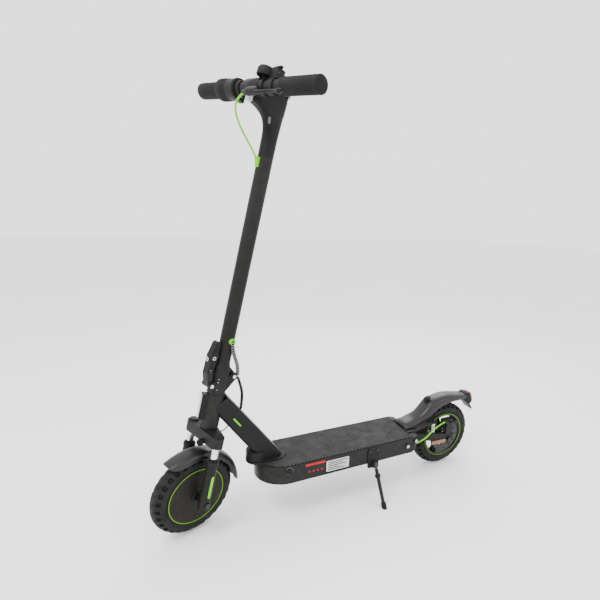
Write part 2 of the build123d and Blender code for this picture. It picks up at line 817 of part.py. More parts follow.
shell_low = deck_bottom + cover_thickness
bolt_radius = 6.0
bracket_bolt_x = 214.0
bracket_bolt_z = 158.0
port_x = 648.0
port_z = 174.0
port_radius = 7.5
with BuildPart() as deck_shell:
    with BuildSketch(Plane.XY.offset(shell_low)):
        add(deck_outline(0))
    extrude(amount=deck_top - shell_low)
    with BuildSketch(Plane.XY.offset(shell_low)):
        add(deck_outline(deck_wall))
    extrude(amount=deck_top - deck_top_wall - shell_low, mode=Mode.SUBTRACT)
    add(block((100, 200), (-80, 80), (shell_low - 1, deck_top - deck_top_wall)), mode=Mode.SUBTRACT)
    with BuildSketch(Plane.XZ.offset(-200)):
        with BuildLine():
            Polyline((190, 128), (120, 128), (120, 190), (150, 165), close=True)
        make_face()
    extrude(amount=400, mode=Mode.SUBTRACT)
    with BuildSketch(Plane.XZ.offset(-200)):
        with Locations((pivot_x, pivot_z), (bracket_bolt_x, bracket_bolt_z)):
            Circle(bolt_radius)
    extrude(amount=400, mode=Mode.SUBTRACT)
    with BuildSketch(Plane.XZ.offset(-200)):
        with Locations((port_x, port_z)):
            Circle(port_radius)
    extrude(amount=150, mode=Mode.SUBTRACT)
    add(rear_cable.part, mode=Mode.SUBTRACT)
save(deck_shell, "deck_shell", frame_place)

with BuildPart() as deck_solid:
    with BuildSketch(Plane.XY.offset(deck_bottom)):
        add(deck_outline(0))
    extrude(amount=deck_top - deck_bottom)

tube_angle = 54.8  # down tube above the horizontal
tube_foot_x = 678.7
tube_foot_z = 189.0
tube_half_width = 25.0
foot_half_depth = 30.5
top_half_depth = 27.5
tube_length = 262.0
tube_wall = 3.0
collar_high = deck_top + 6.0
collar_half = 40.0
collar_rear = 632.0
collar_front = 757.0
boot_half = 34.0
boot_high = 222.0


def along_tube(distance, offset):
    """A point in the side view, along the down tube from its foot and off its centre line."""
    angle = radians(tube_angle)
    x = tube_foot_x + distance * cos(angle) - offset * sin(angle)
    z = tube_foot_z + distance * sin(angle) + offset * cos(angle)
    return (x, z)


def collar_plan(grow):
    """The casting that carries the down tube, seen from above."""
    with BuildSketch() as plan:
        with Locations(((collar_rear + collar_front) / 2, 0)):
            SlotOverall(collar_front - collar_rear + 2 * grow, 2 * (collar_half + grow))
    return plan.sketch


with BuildPart() as down_tube:
    with BuildSketch(Plane.XZ.offset(-tube_half_width)):
        with BuildLine():
            Polyline(
                along_tube(-12, foot_half_depth),
                along_tube(-12, -foot_half_depth),
                along_tube(tube_length, -top_half_depth),
                along_tube(tube_length, top_half_depth),
                close=True,
            )
        make_face()
    extrude(amount=2 * tube_half_width)
    fillet(down_tube.edges().filter_by(GeomType.LINE).filter_by(lambda e: abs(e.tangent_at(0).Y) < 0.1), 12)
    with BuildSketch(Plane.XY.offset(deck_top)):
        add(collar_plan(0))
    extrude(amount=collar_high - deck_top)
    with BuildSketch(Plane.XY.offset(deck_top)):
        with Locations((collar_front - boot_half, 0)):
            Circle(boot_half)
    extrude(amount=boot_high - deck_top, taper=4)
    add(deck_solid.part, mode=Mode.SUBTRACT)
    with BuildSketch(Plane.XZ.offset(tube_wall - tube_half_width)):
        with BuildLine():
            Polyline(
                along_tube(12, foot_half_depth - tube_wall),
                along_tube(12, tube_wall - foot_half_depth),
                along_tube(tube_length, tube_wall - top_half_depth),
                along_tube(tube_length, top_half_depth - tube_wall),
                close=True,
            )
        make_face()
    extrude(amount=2 * (tube_half_width - tube_wall), mode=Mode.SUBTRACT)
    head_core = unsteered_in_frame * Cylinder(head_tube_radius, 900, mode=Mode.PRIVATE)
    add(head_core, mode=Mode.SUBTRACT)
    steerer_side = unsteered_in_frame * block((0, 100), (-60, 60), (100, 400))
    add(steerer_side, mode=Mode.SUBTRACT)
    over_head = unsteered_in_frame * block((-100, 30), (-60, 60), (head_tube_high, 420))
    add(over_head, mode=Mode.SUBTRACT)
    add(lower_wrap.part, mode=Mode.SUBTRACT)
    add(motor_lead.part, mode=Mode.SUBTRACT)
save(down_tube, "down_tube", frame_place)

# ---------------------------------------------------------------- deck
with BuildPart() as deck_bottom_cover:
    with BuildSketch(Plane.XY.offset(deck_bottom)):
        add(deck_outline(0))
    extrude(amount=cover_thickness)
    add(block((100, 190), (-200, 200), (0, 200)), mode=Mode.SUBTRACT)
save(deck_bottom_cover, "deck_bottom_cover", frame_place)

mat_inset = 5.0
mat_rear = 192.0
with BuildPart() as deck_mat:
    with BuildSketch(Plane.XY.offset(deck_top)):
        add(deck_outline(mat_inset))
        add(collar_plan(1), mode=Mode.SUBTRACT)
    extrude(amount=mat_thickness)
    add(block((100, mat_rear), (-200, 200), (0, 200)), mode=Mode.SUBTRACT)
save(deck_mat, "deck_mat", frame_place)

battery_front = 640.0
battery_rear = 335.0
with BuildPart() as battery_pack:
    with BuildSketch(Plane.XY.offset(shell_low)):
        with Locations(((battery_front + battery_rear) / 2, 12)):
            RectangleRounded(battery_front - battery_rear, 140, 8)
    extrude(amount=44)
save(battery_pack, "battery_pack", frame_place)

with BuildPart() as controller:
    with BuildSketch(Plane.XY.offset(shell_low)):
        with Locations((288, 0)):
            RectangleRounded(74, 70, 5)
    extrude(amount=32)
save(controller, "motor_controller", frame_place)

port_face = deck_half_width + 2.0
with BuildPart() as charge_port:
    add(Pos(port_x, 0, port_z) * tube_y(port_radius, 5.5, 83.5, port_face))
    add(Pos(port_x, 0, port_z) * tube_y(port_radius, 0, 78, 83.5))
save(charge_port, "charge_port", frame_place)

cap_radius = 9.0
cap_face = port_face + touch_gap
cap_hinge_x = port_x + cap_radius + 2
with BuildPart() as charge_cap:
    cap_disc = Pos(port_x, 0, port_z) * tube_y(cap_radius, 0, cap_face, cap_face + 2.5)
    add(cap_disc)
    add(block((port_x + 6, cap_hinge_x), (cap_face, cap_face + 2.5), (port_z - 4, port_z + 4)))
    with BuildSketch(Plane.XY.offset(port_z - 5)):
        with Locations((cap_hinge_x, cap_face + 1.25)):
            Circle(1.6)
    extrude(amount=10)
save(charge_cap, "charge_cap", frame_place)

# ---------------------------------------------------------------- rear of the frame
ear_in = 80.0
ear_out = deck_half_width - deck_wall
with BuildPart() as rear_bracket:
    for side in (-1, 1):
        with BuildSketch(Plane.XZ.offset(-max(side * ear_in, side * ear_out))):
            with BuildLine():
                Polyline((172, 181.9), (250, 181.9), (250, 137), (196, 137), (172, 158), close=True)
            make_face()
        extrude(amount=ear_out - ear_in)
    add(block((236, 243), (-ear_in - 1, ear_in + 1), (137, 181.9)))
    with BuildSketch(Plane.XZ.offset(-200)):
        with Locations((pivot_x, pivot_z), (bracket_bolt_x, bracket_bolt_z)):
            Circle(bolt_radius)
    extrude(amount=400, mode=Mode.SUBTRACT)
    add(deck_shell.part, mode=Mode.SUBTRACT)

with BuildPart() as pivot_bolts:
    for x, z, reach in ((pivot_x, pivot_z, 60), (bracket_bolt_x, bracket_bolt_z, ear_in - 2)):
        for side in (-1, 1):
            with BuildSketch(Plane.XZ.offset(-side * reach)):
                with Locations((x, z)):
                    Circle(bolt_radius)
            extrude(amount=-side * (deck_half_width - reach))
            with BuildSketch(Plane.XZ.offset(-side * deck_half_width)):
                with Locations((x, z)):
                    Circle(9.5)
            extrude(amount=-side * 4, taper=10)

hanger_inner = 44.0
hanger_outer = 56.0
with BuildPart() as spring_hangers:
    for side in (-1, 1):
        with BuildSketch(Plane.XZ.offset(-max(side * hanger_inner, side * hanger_outer))):
            with BuildLine():
                Polyline(
                    (190, deck_top), (190, deck_top + 4), (150, deck_top + 4), (98, 206),
                    (60, 206), (60, 200), (96, 200), (148, deck_top), close=True,
                )
            make_face()
        extrude(amount=hanger_outer - hanger_inner)

with BuildPart() as rear_mount:
    add(rear_bracket.part)
    add(spring_hangers.part)
    add(rear_cable.part, mode=Mode.SUBTRACT)
save(rear_mount, "rear_bracket", frame_place)

fender_half = 36.0
fender_wall = 3.0
light_half = 21.0

with BuildPart() as fender_outside:
    with BuildSketch(Plane.XZ.offset(-fender_half)):
        with BuildLine():
            Line((188, deck_top), (188, 191))
            Line((188, 191), (181, 205))
            Line((181, 205), (137, 218))
            Line((137, 218), (104, 240))
            Line((104, 240), (78, 272))
            ThreePointArc((78, 272), (10, 288), (-62, 281))
            Line((-62, 281), (-96, 275))
            Line((-96, 275), (-100, 262))
            Line((-100, 262), (-64, 262))
            Line((-64, 262), (-20, 262))
            ThreePointArc((-20, 262), (48, 242), (104, 191))
            Line((104, 191), (150, deck_top))
            Line((150, deck_top), (188, deck_top))
        make_face()
    extrude(amount=2 * fender_half)

with BuildPart() as fender_inside:
    with BuildSketch(Plane.XZ.offset(fender_wall - fender_half)):
        with BuildLine():
            Line((184, 180), (178, 202))
            Line((178, 202), (136, 215))
            Line((136, 215), (102, 237))
            Line((102, 237), (76, 268))
            ThreePointArc((76, 268), (10, 285), (-56, 276))
            Line((-56, 276), (-56, 180))
            Line((-56, 180), (184, 180))
        make_face()
    extrude(amount=2 * (fender_half - fender_wall))

with BuildPart() as rear_fender:
    add(fender_outside.part)
    add(fender_inside.part, mode=Mode.SUBTRACT)
    with BuildSketch(Plane.XZ.offset(-light_half)):
        with BuildLine():
            Polyline(
                (-100, 262), (-96, 275), (-104, 280), (-118, 278), (-134, 240),
                (-124, 232), (-140, 209), (-136, 206), (-112, 234), (-98, 248), close=True,
            )
        make_face()
    extrude(amount=2 * light_half)
    with BuildSketch(Plane.XZ.offset(-8)):
        with BuildLine():
            Polyline((84, 266), (84, 283), (66, 287), (62, 283), (74, 278), (74, 268), close=True)
        make_face()
    extrude(amount=16)
    add(block((166, 188), (-hanger_inner, hanger_inner), (deck_top, deck_top + 3)))
save(rear_fender, "rear_fender", frame_place)

with BuildPart() as tail_lens:
    with BuildSketch(Plane.XZ.offset(3 - light_half)):
        with BuildLine():
            Polyline((-118, 278), (-134, 240), (-137.5, 241), (-122, 279), close=True)
        make_face()
    extrude(amount=2 * (light_half - 3))
save(tail_lens, "tail_light_lens", frame_place)

# ---------------------------------------------------------------- swing arm and rear brake
spring_low = 166.0
spring_high = 200.0
axle_boss = 19.0
pivot_boss = 9.5
with BuildPart() as swingarm:
    for side in (-1, 1):
        sides = sorted((side * arm_inner, side * arm_outer))
        add(link_y([(0, tyre_radius, axle_boss), (pivot_x, pivot_z, pivot_boss)], *sides))
        add(link_y([(24, 122, 7), (72, 123, 7)], *sides))
        with BuildSketch(Plane.XY.offset(150)):
            with Locations((75, side * arm_inner)):
                Circle(9)
        extrude(amount=spring_low - 150)
    add(Pos(pivot_x, 0, pivot_z) * tube_y(pivot_boss, 0, face_gap - ear_in, ear_in - face_gap))
    add(block((138, 150), (-arm_inner - 1, arm_inner + 1), (152, 172)))
    with BuildSketch(Plane.XZ.offset(-200)):
        with Locations((pivot_x, pivot_z)):
            Circle(bolt_radius + run_gap)
        with Locations((0, tyre_radius)):
            Circle(axle_radius)
    extrude(amount=400, mode=Mode.SUBTRACT)
save(swingarm, "swingarm", frame_place)

with BuildPart() as rear_axle:
    with BuildSketch(Plane.XZ.offset(-66)):
        Circle(axle_radius)
    extrude(amount=132)
    for side in (-1, 1):
        inner = side * (hub_half_width + touch_gap - 2)
        add(tube_y(spacer_radius, axle_radius - 1, *sorted((inner, side * arm_inner))))
        with BuildSketch(Plane.XZ.offset(-side * arm_outer)):
            RegularPolygon(10, 6)
        extrude(amount=-side * 7)
save(rear_axle, "rear_axle", rear_wheel_place)

with BuildPart() as rear_reflectors:
    for side in (-1, 1):
        with BuildSketch(Plane.XZ.offset(-side * arm_outer)):
            with Locations((48, 122)):
                RectangleRounded(64, 14, 4, rotation=2)
        extrude(amount=-side * 3)
save(rear_reflectors, "side_reflectors", frame_place)

with BuildPart() as rear_springs:
    for side in (-1, 1):
        with Locations((75, side * arm_inner, (spring_low + spring_high) / 2)):
            Cylinder(8, spring_high - spring_low)
            Cylinder(5.5, spring_high - spring_low, mode=Mode.SUBTRACT)
save(rear_springs, "rear_springs", frame_place)

caliper_low = 168.0
with BuildPart() as brake_caliper:
    add(block((-20, 22), (27, arm_inner), (caliper_low, 200)))
    add(block((-14, 16), (arm_inner - 1, arm_outer), (145, 190)))
    add(link_y([(0, tyre_radius, axle_boss), (pivot_x, pivot_z, pivot_boss)], arm_inner, arm_outer),
        mode=Mode.SUBTRACT)
    disc_slot = Pos(0, 0, tyre_radius) * tube_y(disc_radius + 1.5, 0, disc_inner_face - 1, disc_inner_face + 3)
    add(disc_slot, mode=Mode.SUBTRACT)
save(brake_caliper, "brake_caliper", frame_place)

caliper_arm_x = 4.0
caliper_arm_z = 184.0
caliper_face = arm_outer
with BuildPart() as caliper_arm:
    inner_face = caliper_face + touch_gap
    add(link_y([(caliper_arm_x, caliper_arm_z, 7), (24, 199, 4)], inner_face, inner_face + 4))
save(caliper_arm, "caliper_arm", frame_place)

# ---------------------------------------------------------------- side stand
splay = radians(stand_splay)
stand_axis = Vector(0, cos(splay), sin(splay))
stand_down = Vector(0, sin(splay), -cos(splay))
stand_point = Vector(stand_x, stand_pivot_y, stand_pivot_z)
eye_half = 4.0
stand_pin = 4.0


def along_stand_axis(radius, low, high, bore=0):
    """A round piece about the stand's pivot axis."""
    with BuildPart() as piece:
        with BuildSketch(Plane(origin=stand_point + stand_axis * low, z_dir=stand_axis)):
            Circle(radius)
            if bore > 0:
                Circle(bore, mode=Mode.SUBTRACT)
        extrude(amount=high - low)
    return piece.part


with BuildPart() as stand_bracket:
    with BuildSketch(Plane.XZ.offset(-deck_half_width - 4)):
        with Locations((stand_x + 4, 148)):
            RectangleRounded(42, 72, 8)
    extrude(amount=4)
    add(along_stand_axis(11, -eye_half - touch_gap - 9, -eye_half - touch_gap))
    add(block((stand_x - 20, stand_x + 30), (0, deck_half_width), (100, 190)), mode=Mode.SUBTRACT)
    add(along_stand_axis(stand_pin, -30, 10), mode=Mode.SUBTRACT)
    add(block((stand_x - 20, stand_x + 30), (0, deck_half_width), (100, 190)), mode=Mode.SUBTRACT)
save(stand_bracket, "stand_bracket", frame_place)

with BuildPart() as frame_bolts:
    add(pivot_bolts.part)
    add(along_stand_axis(stand_pin, -eye_half - touch_gap - 8, eye_half + 1))
    add(along_stand_axis(7, eye_half + touch_gap, eye_half + 4))
    with BuildSketch(Plane.XZ.offset(-deck_half_width - 4)):
        with Locations((stand_x - 11, 176), (stand_x + 19, 176)):
            Circle(4)
    extrude(amount=-2.5)
    with BuildSketch(Plane.XY.offset(deck_bottom - 1.5)):
        with Locations(*[(x, side * 76) for x in (215, 345, 480, 615) for side in (-1, 1)]):
            Circle(4)
    extrude(amount=1.5)
save(frame_bolts, "frame_bolts", frame_place)

leg_length = 141.0
with BuildPart() as stand_leg:
    add(along_stand_axis(10, -eye_half, eye_half, stand_pin + run_gap))
    with BuildSketch(Plane(origin=stand_point + stand_down * 8, z_dir=stand_down)):
        Circle(eye_half - 0.5)
    extrude(amount=8)
    with BuildSketch(Plane(origin=stand_point + stand_down * 13, z_dir=stand_down)):
        Circle(6)
    extrude(amount=leg_length - 30.5)
save(stand_leg, "stand_leg", frame_place)

with BuildPart() as stand_foot:
    with BuildSketch(Plane(origin=stand_point + stand_down * (leg_length - 17.5), z_dir=stand_down)):
        Circle(8.5)
    extrude(amount=30)
    ground = block((-300, 300), (0, 300), (-100, 0))
    add(frame_place.inverse() * ground, mode=Mode.SUBTRACT)
save(stand_foot, "stand_foot", frame_place)
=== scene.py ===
import math

import bmesh
import bpy
from mathutils import Matrix, Vector


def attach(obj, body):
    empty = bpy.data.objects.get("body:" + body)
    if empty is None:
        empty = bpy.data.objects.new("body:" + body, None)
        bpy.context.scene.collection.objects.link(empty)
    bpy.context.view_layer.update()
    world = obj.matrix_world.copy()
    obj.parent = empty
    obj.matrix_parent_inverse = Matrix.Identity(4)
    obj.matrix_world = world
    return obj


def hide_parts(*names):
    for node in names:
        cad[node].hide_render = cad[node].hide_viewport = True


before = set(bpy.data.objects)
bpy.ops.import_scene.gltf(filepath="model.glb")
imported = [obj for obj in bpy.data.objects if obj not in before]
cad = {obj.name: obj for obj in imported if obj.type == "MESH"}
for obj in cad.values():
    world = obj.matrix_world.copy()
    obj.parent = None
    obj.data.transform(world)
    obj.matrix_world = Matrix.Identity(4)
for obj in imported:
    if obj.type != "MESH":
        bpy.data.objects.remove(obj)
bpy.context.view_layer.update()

# ---------------------------------------------------------------- where each group stands
# Local measures are millimetres; every matrix below ends in metres in the row frame.
WHEELBASE = 918.0
TYRE_RADIUS = 125.0
TREAD_RADIUS = 27.0
RIM_RADIUS = 89.0
HEAD_TILT = 14.0
RAKE = 10.0
STEER = 22.5
LEAN = 1.0
BAR_FORWARD = 69.0
BAR_HEIGHT = 1095.0
LEVER_DROOP = 36.0
TAIL_REACH = 141.0
FRONT_MARGIN = 3.0
LEAN_SHARE = 0.97
LEG_SPREAD = 61.0
TUBE_ANGLE = 54.8
SIDES = ((-1, "right"), (1, "left"))


def move(x, y, z):
    """A shift."""
    return Matrix.Translation((x, y, z))


def turn(axis, degrees):
    """A rotation about one axis."""
    return Matrix.Rotation(math.radians(degrees), 4, axis)


def facing(side):
    """Turns a shape that faces +Y so that it faces its own side."""
    return Matrix.Identity(4) if side > 0 else turn("X", 180)


side_tilt = math.sin(math.radians(STEER)) * math.sin(math.radians(HEAD_TILT))
axle_height = (TYRE_RADIUS - TREAD_RADIUS) * math.sqrt(1 - side_tilt**2) + TREAD_RADIUS
base_x = WHEELBASE - RAKE * math.cos(math.radians(HEAD_TILT))
base_z = axle_height - RAKE * math.cos(math.radians(STEER)) * math.sin(math.radians(HEAD_TILT))
middle_x = (WHEELBASE + TYRE_RADIUS * math.cos(math.radians(STEER)) + FRONT_MARGIN - TAIL_REACH) / 2
lean_shift = math.tan(math.radians(LEAN)) * BAR_HEIGHT * LEAN_SHARE
middle_y = BAR_FORWARD * math.sin(math.radians(STEER)) + lean_shift

FRAME = Matrix.Scale(0.001, 4) @ move(-middle_x, -middle_y, 0) @ turn("X", -LEAN)
IN_FRAME = move(base_x, 0, base_z) @ turn("Y", -HEAD_TILT) @ turn("Z", STEER)
STEERING = FRAME @ IN_FRAME
FRONT_WHEEL = STEERING @ move(RAKE, 0, 0)
REAR_WHEEL = FRAME @ move(0, 0, TYRE_RADIUS)
BAR = STEERING @ move(BAR_FORWARD, 0, BAR_HEIGHT)
BELL = BAR @ move(7, 39, 0)
LEVER = BAR @ turn("Y", LEVER_DROOP)

# ---------------------------------------------------------------- camera
view = bpy.data.cameras.new("camera")
view.lens = 25.99
view.sensor_width = 36.0
view.shift_x = -0.0942
view.shift_y = 0.0850
camera = bpy.data.objects.new("camera", view)
bpy.context.scene.collection.objects.link(camera)
ahead = Vector((-0.46096882, -0.84082103, -0.28377411))
across = Vector((-0.88106124, 0.47183838, 0.03316064))
upward = Vector((-0.10601336, -0.26530839, 0.9583176))
view_axes = Matrix((across, upward, -ahead)).transposed().to_4x4()
camera.matrix_world = move(0.5880, 1.1512, 0.9005) @ view_axes
bpy.context.scene.camera = camera


# ---------------------------------------------------------------- materials
class Look:
    """A node material that is built up a step at a time."""

    def __init__(self, name):
        self.material = bpy.data.materials.new(name)
        self.material.use_nodes = True
        self.tree = self.material.node_tree
        self.shader = self.tree.nodes["Principled BSDF"]
        self.coords = self.add("ShaderNodeTexCoord").outputs["Object"]

    def add(self, kind, **settings):
        node = self.tree.nodes.new(kind)
        for key, value in settings.items():
            if hasattr(node, key):
                setattr(node, key, value)
            else:
                node.inputs[key.replace("_", " ")].default_value = value
        return node

    def link(self, source, target):
        self.tree.links.new(source, target)

    def noise(self, scale, detail=4.0, rough=0.55, vector=None):
        node = self.add("ShaderNodeTexNoise", Scale=scale, Detail=detail, Roughness=rough)
        self.link(vector or self.coords, node.inputs["Vector"])
        return node.outputs["Fac"]

    def ramp(self, source, stops):
        node = self.add("ShaderNodeValToRGB")
        elements = node.color_ramp.elements
        while len(elements) < len(stops):
            elements.new(0.5)
        for element, (place, colour) in zip(elements, stops):
            element.position = place
            element.color = (*colour, 1.0) if len(colour) == 3 else colour
        self.link(source, node.inputs["Fac"])
        return node.outputs["Color"]

    def spread(self, source, low, high, start=0.35, end=0.65):
        node = self.add("ShaderNodeMapRange")
        node.inputs["From Min"].default_value = start
        node.inputs["From Max"].default_value = end
        node.inputs["To Min"].default_value = low
        node.inputs["To Max"].default_value = high
        self.link(source, node.inputs["Value"])
        return node.outputs["Result"]

    def blend(self, factor, first, second):
        node = self.add("ShaderNodeMix", data_type="RGBA", blend_type="MIX")
        self.link(factor, node.inputs[0])
        self.link(first, node.inputs[6])
        self.link(second, node.inputs[7])
        return node.outputs[2]

    def mapped(self, scale=(1, 1, 1), angle=0.0):
        node = self.add("ShaderNodeMapping")
        node.inputs["Rotation"].default_value = (0, 0, math.radians(angle))
        node.inputs["Scale"].default_value = scale
        self.link(self.coords, node.inputs["Vector"])
        return node.outputs["Vector"]

    def bump(self, height, strength, distance, soft=0.0, under=None):
        node = self.add("ShaderNodeBump", Strength=strength, Distance=distance)
        self.link(height, node.inputs["Height"])
        if under:
            self.link(under, node.inputs["Normal"])
        elif soft > 0:
            bevel = self.add("ShaderNodeBevel", samples=4)
            bevel.inputs["Radius"].default_value = soft
            self.link(bevel.outputs["Normal"], node.inputs["Normal"])
        return node.outputs["Normal"]

    def set(self, **values):
        for key, value in values.items():
            self.shader.inputs[key.replace("_", " ")].default_value = value


def coated(
    name, low, high, rough, metal=0.0, grain=700.0, strength=0.25, soft=0.0008, coat=0.0, wear=0.0,
    shine=0.10,
):
    """Paint, moulded plastic or rubber: cloudy tone, grain in gloss and relief, paler worn edges."""
    look = Look(name)
    tone = look.ramp(look.noise(11.0, 6.0), [(0.25, low), (0.75, high)])
    if wear > 0:
        edge = look.spread(look.add("ShaderNodeNewGeometry").outputs["Pointiness"], 0.0, wear, 0.52, 0.62)
        worn = look.ramp(look.noise(60.0), [(0.3, [min(1, c * 2.4 + 0.05) for c in high]), (0.8, high)])
        tone = look.blend(edge, tone, worn)
    look.link(tone, look.shader.inputs["Base Color"])
    fine = look.noise(grain, 3.0)
    smear = look.noise(18.0, 6.0)
    gloss = look.spread(smear, rough - 0.06, rough + 0.10)
    look.link(gloss, look.shader.inputs["Roughness"])
    look.link(look.bump(fine, strength, 0.0004, soft), look.shader.inputs["Normal"])
    look.set(Metallic=metal, Coat_Weight=coat, Coat_Roughness=0.12, Specular_IOR_Level=shine)
    return look.material


alloy = coated(
    "black_powder_coat", (0.0085, 0.0085, 0.0080), (0.0110, 0.0110, 0.0104), 0.40, grain=1500.0,
    strength=0.30, wear=0.12,
)
satin = coated(
    "black_satin_moulding", (0.0060, 0.0060, 0.0060), (0.0110, 0.0110, 0.0105), 0.42, grain=1100.0,
    strength=0.22, wear=0.1,
)
gloss = coated(
    "black_gloss_moulding", (0.004, 0.004, 0.004), (0.007, 0.007, 0.007), 0.24, grain=260.0, strength=0.03,
    coat=0.15,
)
guard = coated(
    "mudguard_moulding", (0.0055, 0.0055, 0.0055), (0.0095, 0.0095, 0.0090), 0.34, grain=900.0, strength=0.10,
    coat=0.06, shine=0.30,
)
rubber = coated(
    "soft_rubber", (0.0075, 0.0075, 0.0075), (0.014, 0.014, 0.0135), 0.62, grain=900.0, strength=0.35,
)
sleeve = coated("cable_sleeve", (0.004, 0.004, 0.004), (0.008, 0.008, 0.008), 0.5, grain=800.0, strength=0.2)
bright = coated("bright_green", (0.10, 0.42, 0.0005), (0.15, 0.54, 0.001), 0.42, grain=600.0, strength=0.12)
ring_green = coated("ring_green", (0.085, 0.26, 0.002), (0.14, 0.38, 0.004), 0.45, grain=500.0, strength=0.12)
cover = coated(
    "hub_cover_paint", (0.0100, 0.0090, 0.0075), (0.0165, 0.0150, 0.0125), 0.38, grain=1300.0, strength=0.3,
    wear=0.1,
)
pale = coated("pale_print", (0.42, 0.42, 0.40), (0.58, 0.58, 0.56), 0.5, grain=700.0, strength=0.1)
ink = coated("grey_print", (0.012, 0.012, 0.012), (0.022, 0.022, 0.022), 0.5, grain=700.0, strength=0.1)
red_print = coated("red_print", (0.30, 0.010, 0.012), (0.48, 0.02, 0.02), 0.45, grain=700.0, strength=0.1)
badge_grey = coated(
    "badge_grey", (0.07, 0.07, 0.07), (0.12, 0.12, 0.12), 0.35, metal=0.5, grain=600.0, strength=0.1,
)
thread = coated("pale_thread", (0.45, 0.45, 0.43), (0.70, 0.70, 0.68), 0.55, grain=1200.0, strength=0.3)
battery_wrap = coated(
    "battery_wrap", (0.02, 0.06, 0.16), (0.04, 0.10, 0.24), 0.45, grain=500.0, strength=0.15,
)


def brushed(name, low, high, rough, stretch=(1, 1, 14)):
    """Bare metal with fine drawn lines."""
    look = Look(name)
    lines = look.noise(420.0, 5.0, 0.6, look.mapped(stretch))
    look.link(look.ramp(lines, [(0.3, low), (0.7, high)]), look.shader.inputs["Base Color"])
    look.link(look.spread(lines, rough - 0.08, rough + 0.12), look.shader.inputs["Roughness"])
    look.link(look.bump(lines, 0.12, 0.0002, 0.0005), look.shader.inputs["Normal"])
    look.set(Metallic=1.0)
    return look.material


steel = brushed("zinc_steel", (0.42, 0.42, 0.41), (0.62, 0.62, 0.60), 0.34)
polished = brushed("polished_steel", (0.66, 0.66, 0.65), (0.82, 0.82, 0.80), 0.14)
dark_steel = brushed("dark_steel", (0.030, 0.030, 0.030), (0.06, 0.06, 0.058), 0.38)


def mat_material():
    """Anti-slip mat: close rows of small raised diamonds, painted lighter on top, with painted shade darkening the
    grooves between them.
    """
    look = Look("anti_slip_mat")
    grid = look.add("ShaderNodeTexVoronoi", distance="CHEBYCHEV", Scale=118.0, Randomness=0.0)
    look.link(look.mapped((1, 1, 0), 45.0), grid.inputs["Vector"])
    stud = grid.outputs["Distance"]
    # painted light and shade: the raised diamond tops get a lighter tone and the grooves a near-black one
    high = look.ramp(look.noise(40.0), [(0.2, (0.026, 0.026, 0.026)), (0.8, (0.034, 0.034, 0.033))])
    low = look.ramp(look.noise(40.0), [(0.3, (0.0035, 0.0035, 0.0035)), (0.7, (0.006, 0.006, 0.006))])
    look.link(
        look.blend(look.spread(stud, 0.0, 1.0, 0.30, 0.46), high, low), look.shader.inputs["Base Color"],
    )
    look.link(look.spread(look.noise(30.0), 0.55, 0.78), look.shader.inputs["Roughness"])
    fine = look.bump(look.noise(1600.0, 3.0), 0.25, 0.0003)
    look.link(
        look.bump(look.spread(stud, 1.0, 0.0, 0.26, 0.46), 0.7, 0.0008, under=fine),
        look.shader.inputs["Normal"],
    )
    look.set(Specular_IOR_Level=0.12)
    return look.material


def tyre_material():
    """Tyre rubber: dusty tone on the tread, and painted shade that darkens the hollows."""
    look = Look("tyre_rubber")
    tone = look.ramp(look.noise(22.0, 7.0), [(0.3, (0.0075, 0.0075, 0.0075)), (0.72, (0.016, 0.016, 0.0155))])
    # painted shade: pointiness gives the tread pockets and cuts a near-black tone, standing in for the shade inside
    # them
    hollow = look.spread(look.add("ShaderNodeNewGeometry").outputs["Pointiness"], 1.0, 0.0, 0.455, 0.495)
    shade = look.ramp(look.noise(50.0), [(0.3, (0.0015, 0.0015, 0.0015)), (0.7, (0.004, 0.004, 0.004))])
    look.link(look.blend(hollow, tone, shade), look.shader.inputs["Base Color"])
    look.link(look.spread(look.noise(40.0, 6.0), 0.52, 0.76), look.shader.inputs["Roughness"])
    look.link(look.bump(look.noise(1300.0, 4.0), 0.3, 0.0004), look.shader.inputs["Normal"])
    look.set(Specular_IOR_Level=0.12)
    return look.material


def lens_material(name, low, high, cell, through, rough=0.12):
    """A moulded lens or reflector with a fine prism pattern under a gloss face; each prism cell carries a painted
    glint, lighter at its centre and darker at its edges.
    """
    look = Look(name)
    prism = look.add("ShaderNodeTexVoronoi", distance="CHEBYCHEV", Scale=cell, Randomness=0.05)
    look.link(look.coords, prism.inputs["Vector"])
    facet = prism.outputs["Distance"]
    # painted glints: the base colour is lighter at each prism cell's centre and darker towards its edges
    look.link(look.ramp(facet, [(0.15, high), (0.55, low)]), look.shader.inputs["Base Color"])
    look.link(look.spread(look.noise(60.0), rough - 0.05, rough + 0.08), look.shader.inputs["Roughness"])
    look.link(look.bump(facet, 0.35, 0.0005, 0.0006), look.shader.inputs["Normal"])
    look.set(Transmission_Weight=through, Coat_Weight=0.8, Coat_Roughness=0.05)
    return look.material


def screen_material():
    """A dark display cover, glossy with faint smears."""
    look = Look("display_cover")
    look.link(
        look.ramp(look.noise(25.0), [(0.3, (0.006, 0.006, 0.007)), (0.7, (0.012, 0.012, 0.013))]),
        look.shader.inputs["Base Color"],
    )
    look.link(look.spread(look.noise(35.0, 7.0), 0.08, 0.24), look.shader.inputs["Roughness"])
    look.link(look.bump(look.noise(120.0), 0.04, 0.0003, 0.001), look.shader.inputs["Normal"])
    look.set(Coat_Weight=0.6)
    return look.material


mat_rubber = mat_material()
tyre_rubber = tyre_material()
amber = lens_material("amber_reflector", (0.09, 0.024, 0.0005), (0.26, 0.075, 0.001), 420.0, 0.0)
white_reflector = lens_material("white_reflector", (0.30, 0.30, 0.30), (0.72, 0.72, 0.70), 420.0, 0.0)
red_lens = lens_material("red_lens", (0.26, 0.003, 0.004), (0.65, 0.012, 0.012), 380.0, 0.25)
clear_lens = lens_material("clear_lens", (0.55, 0.57, 0.58), (0.85, 0.87, 0.88), 300.0, 0.7)
screen = screen_material()


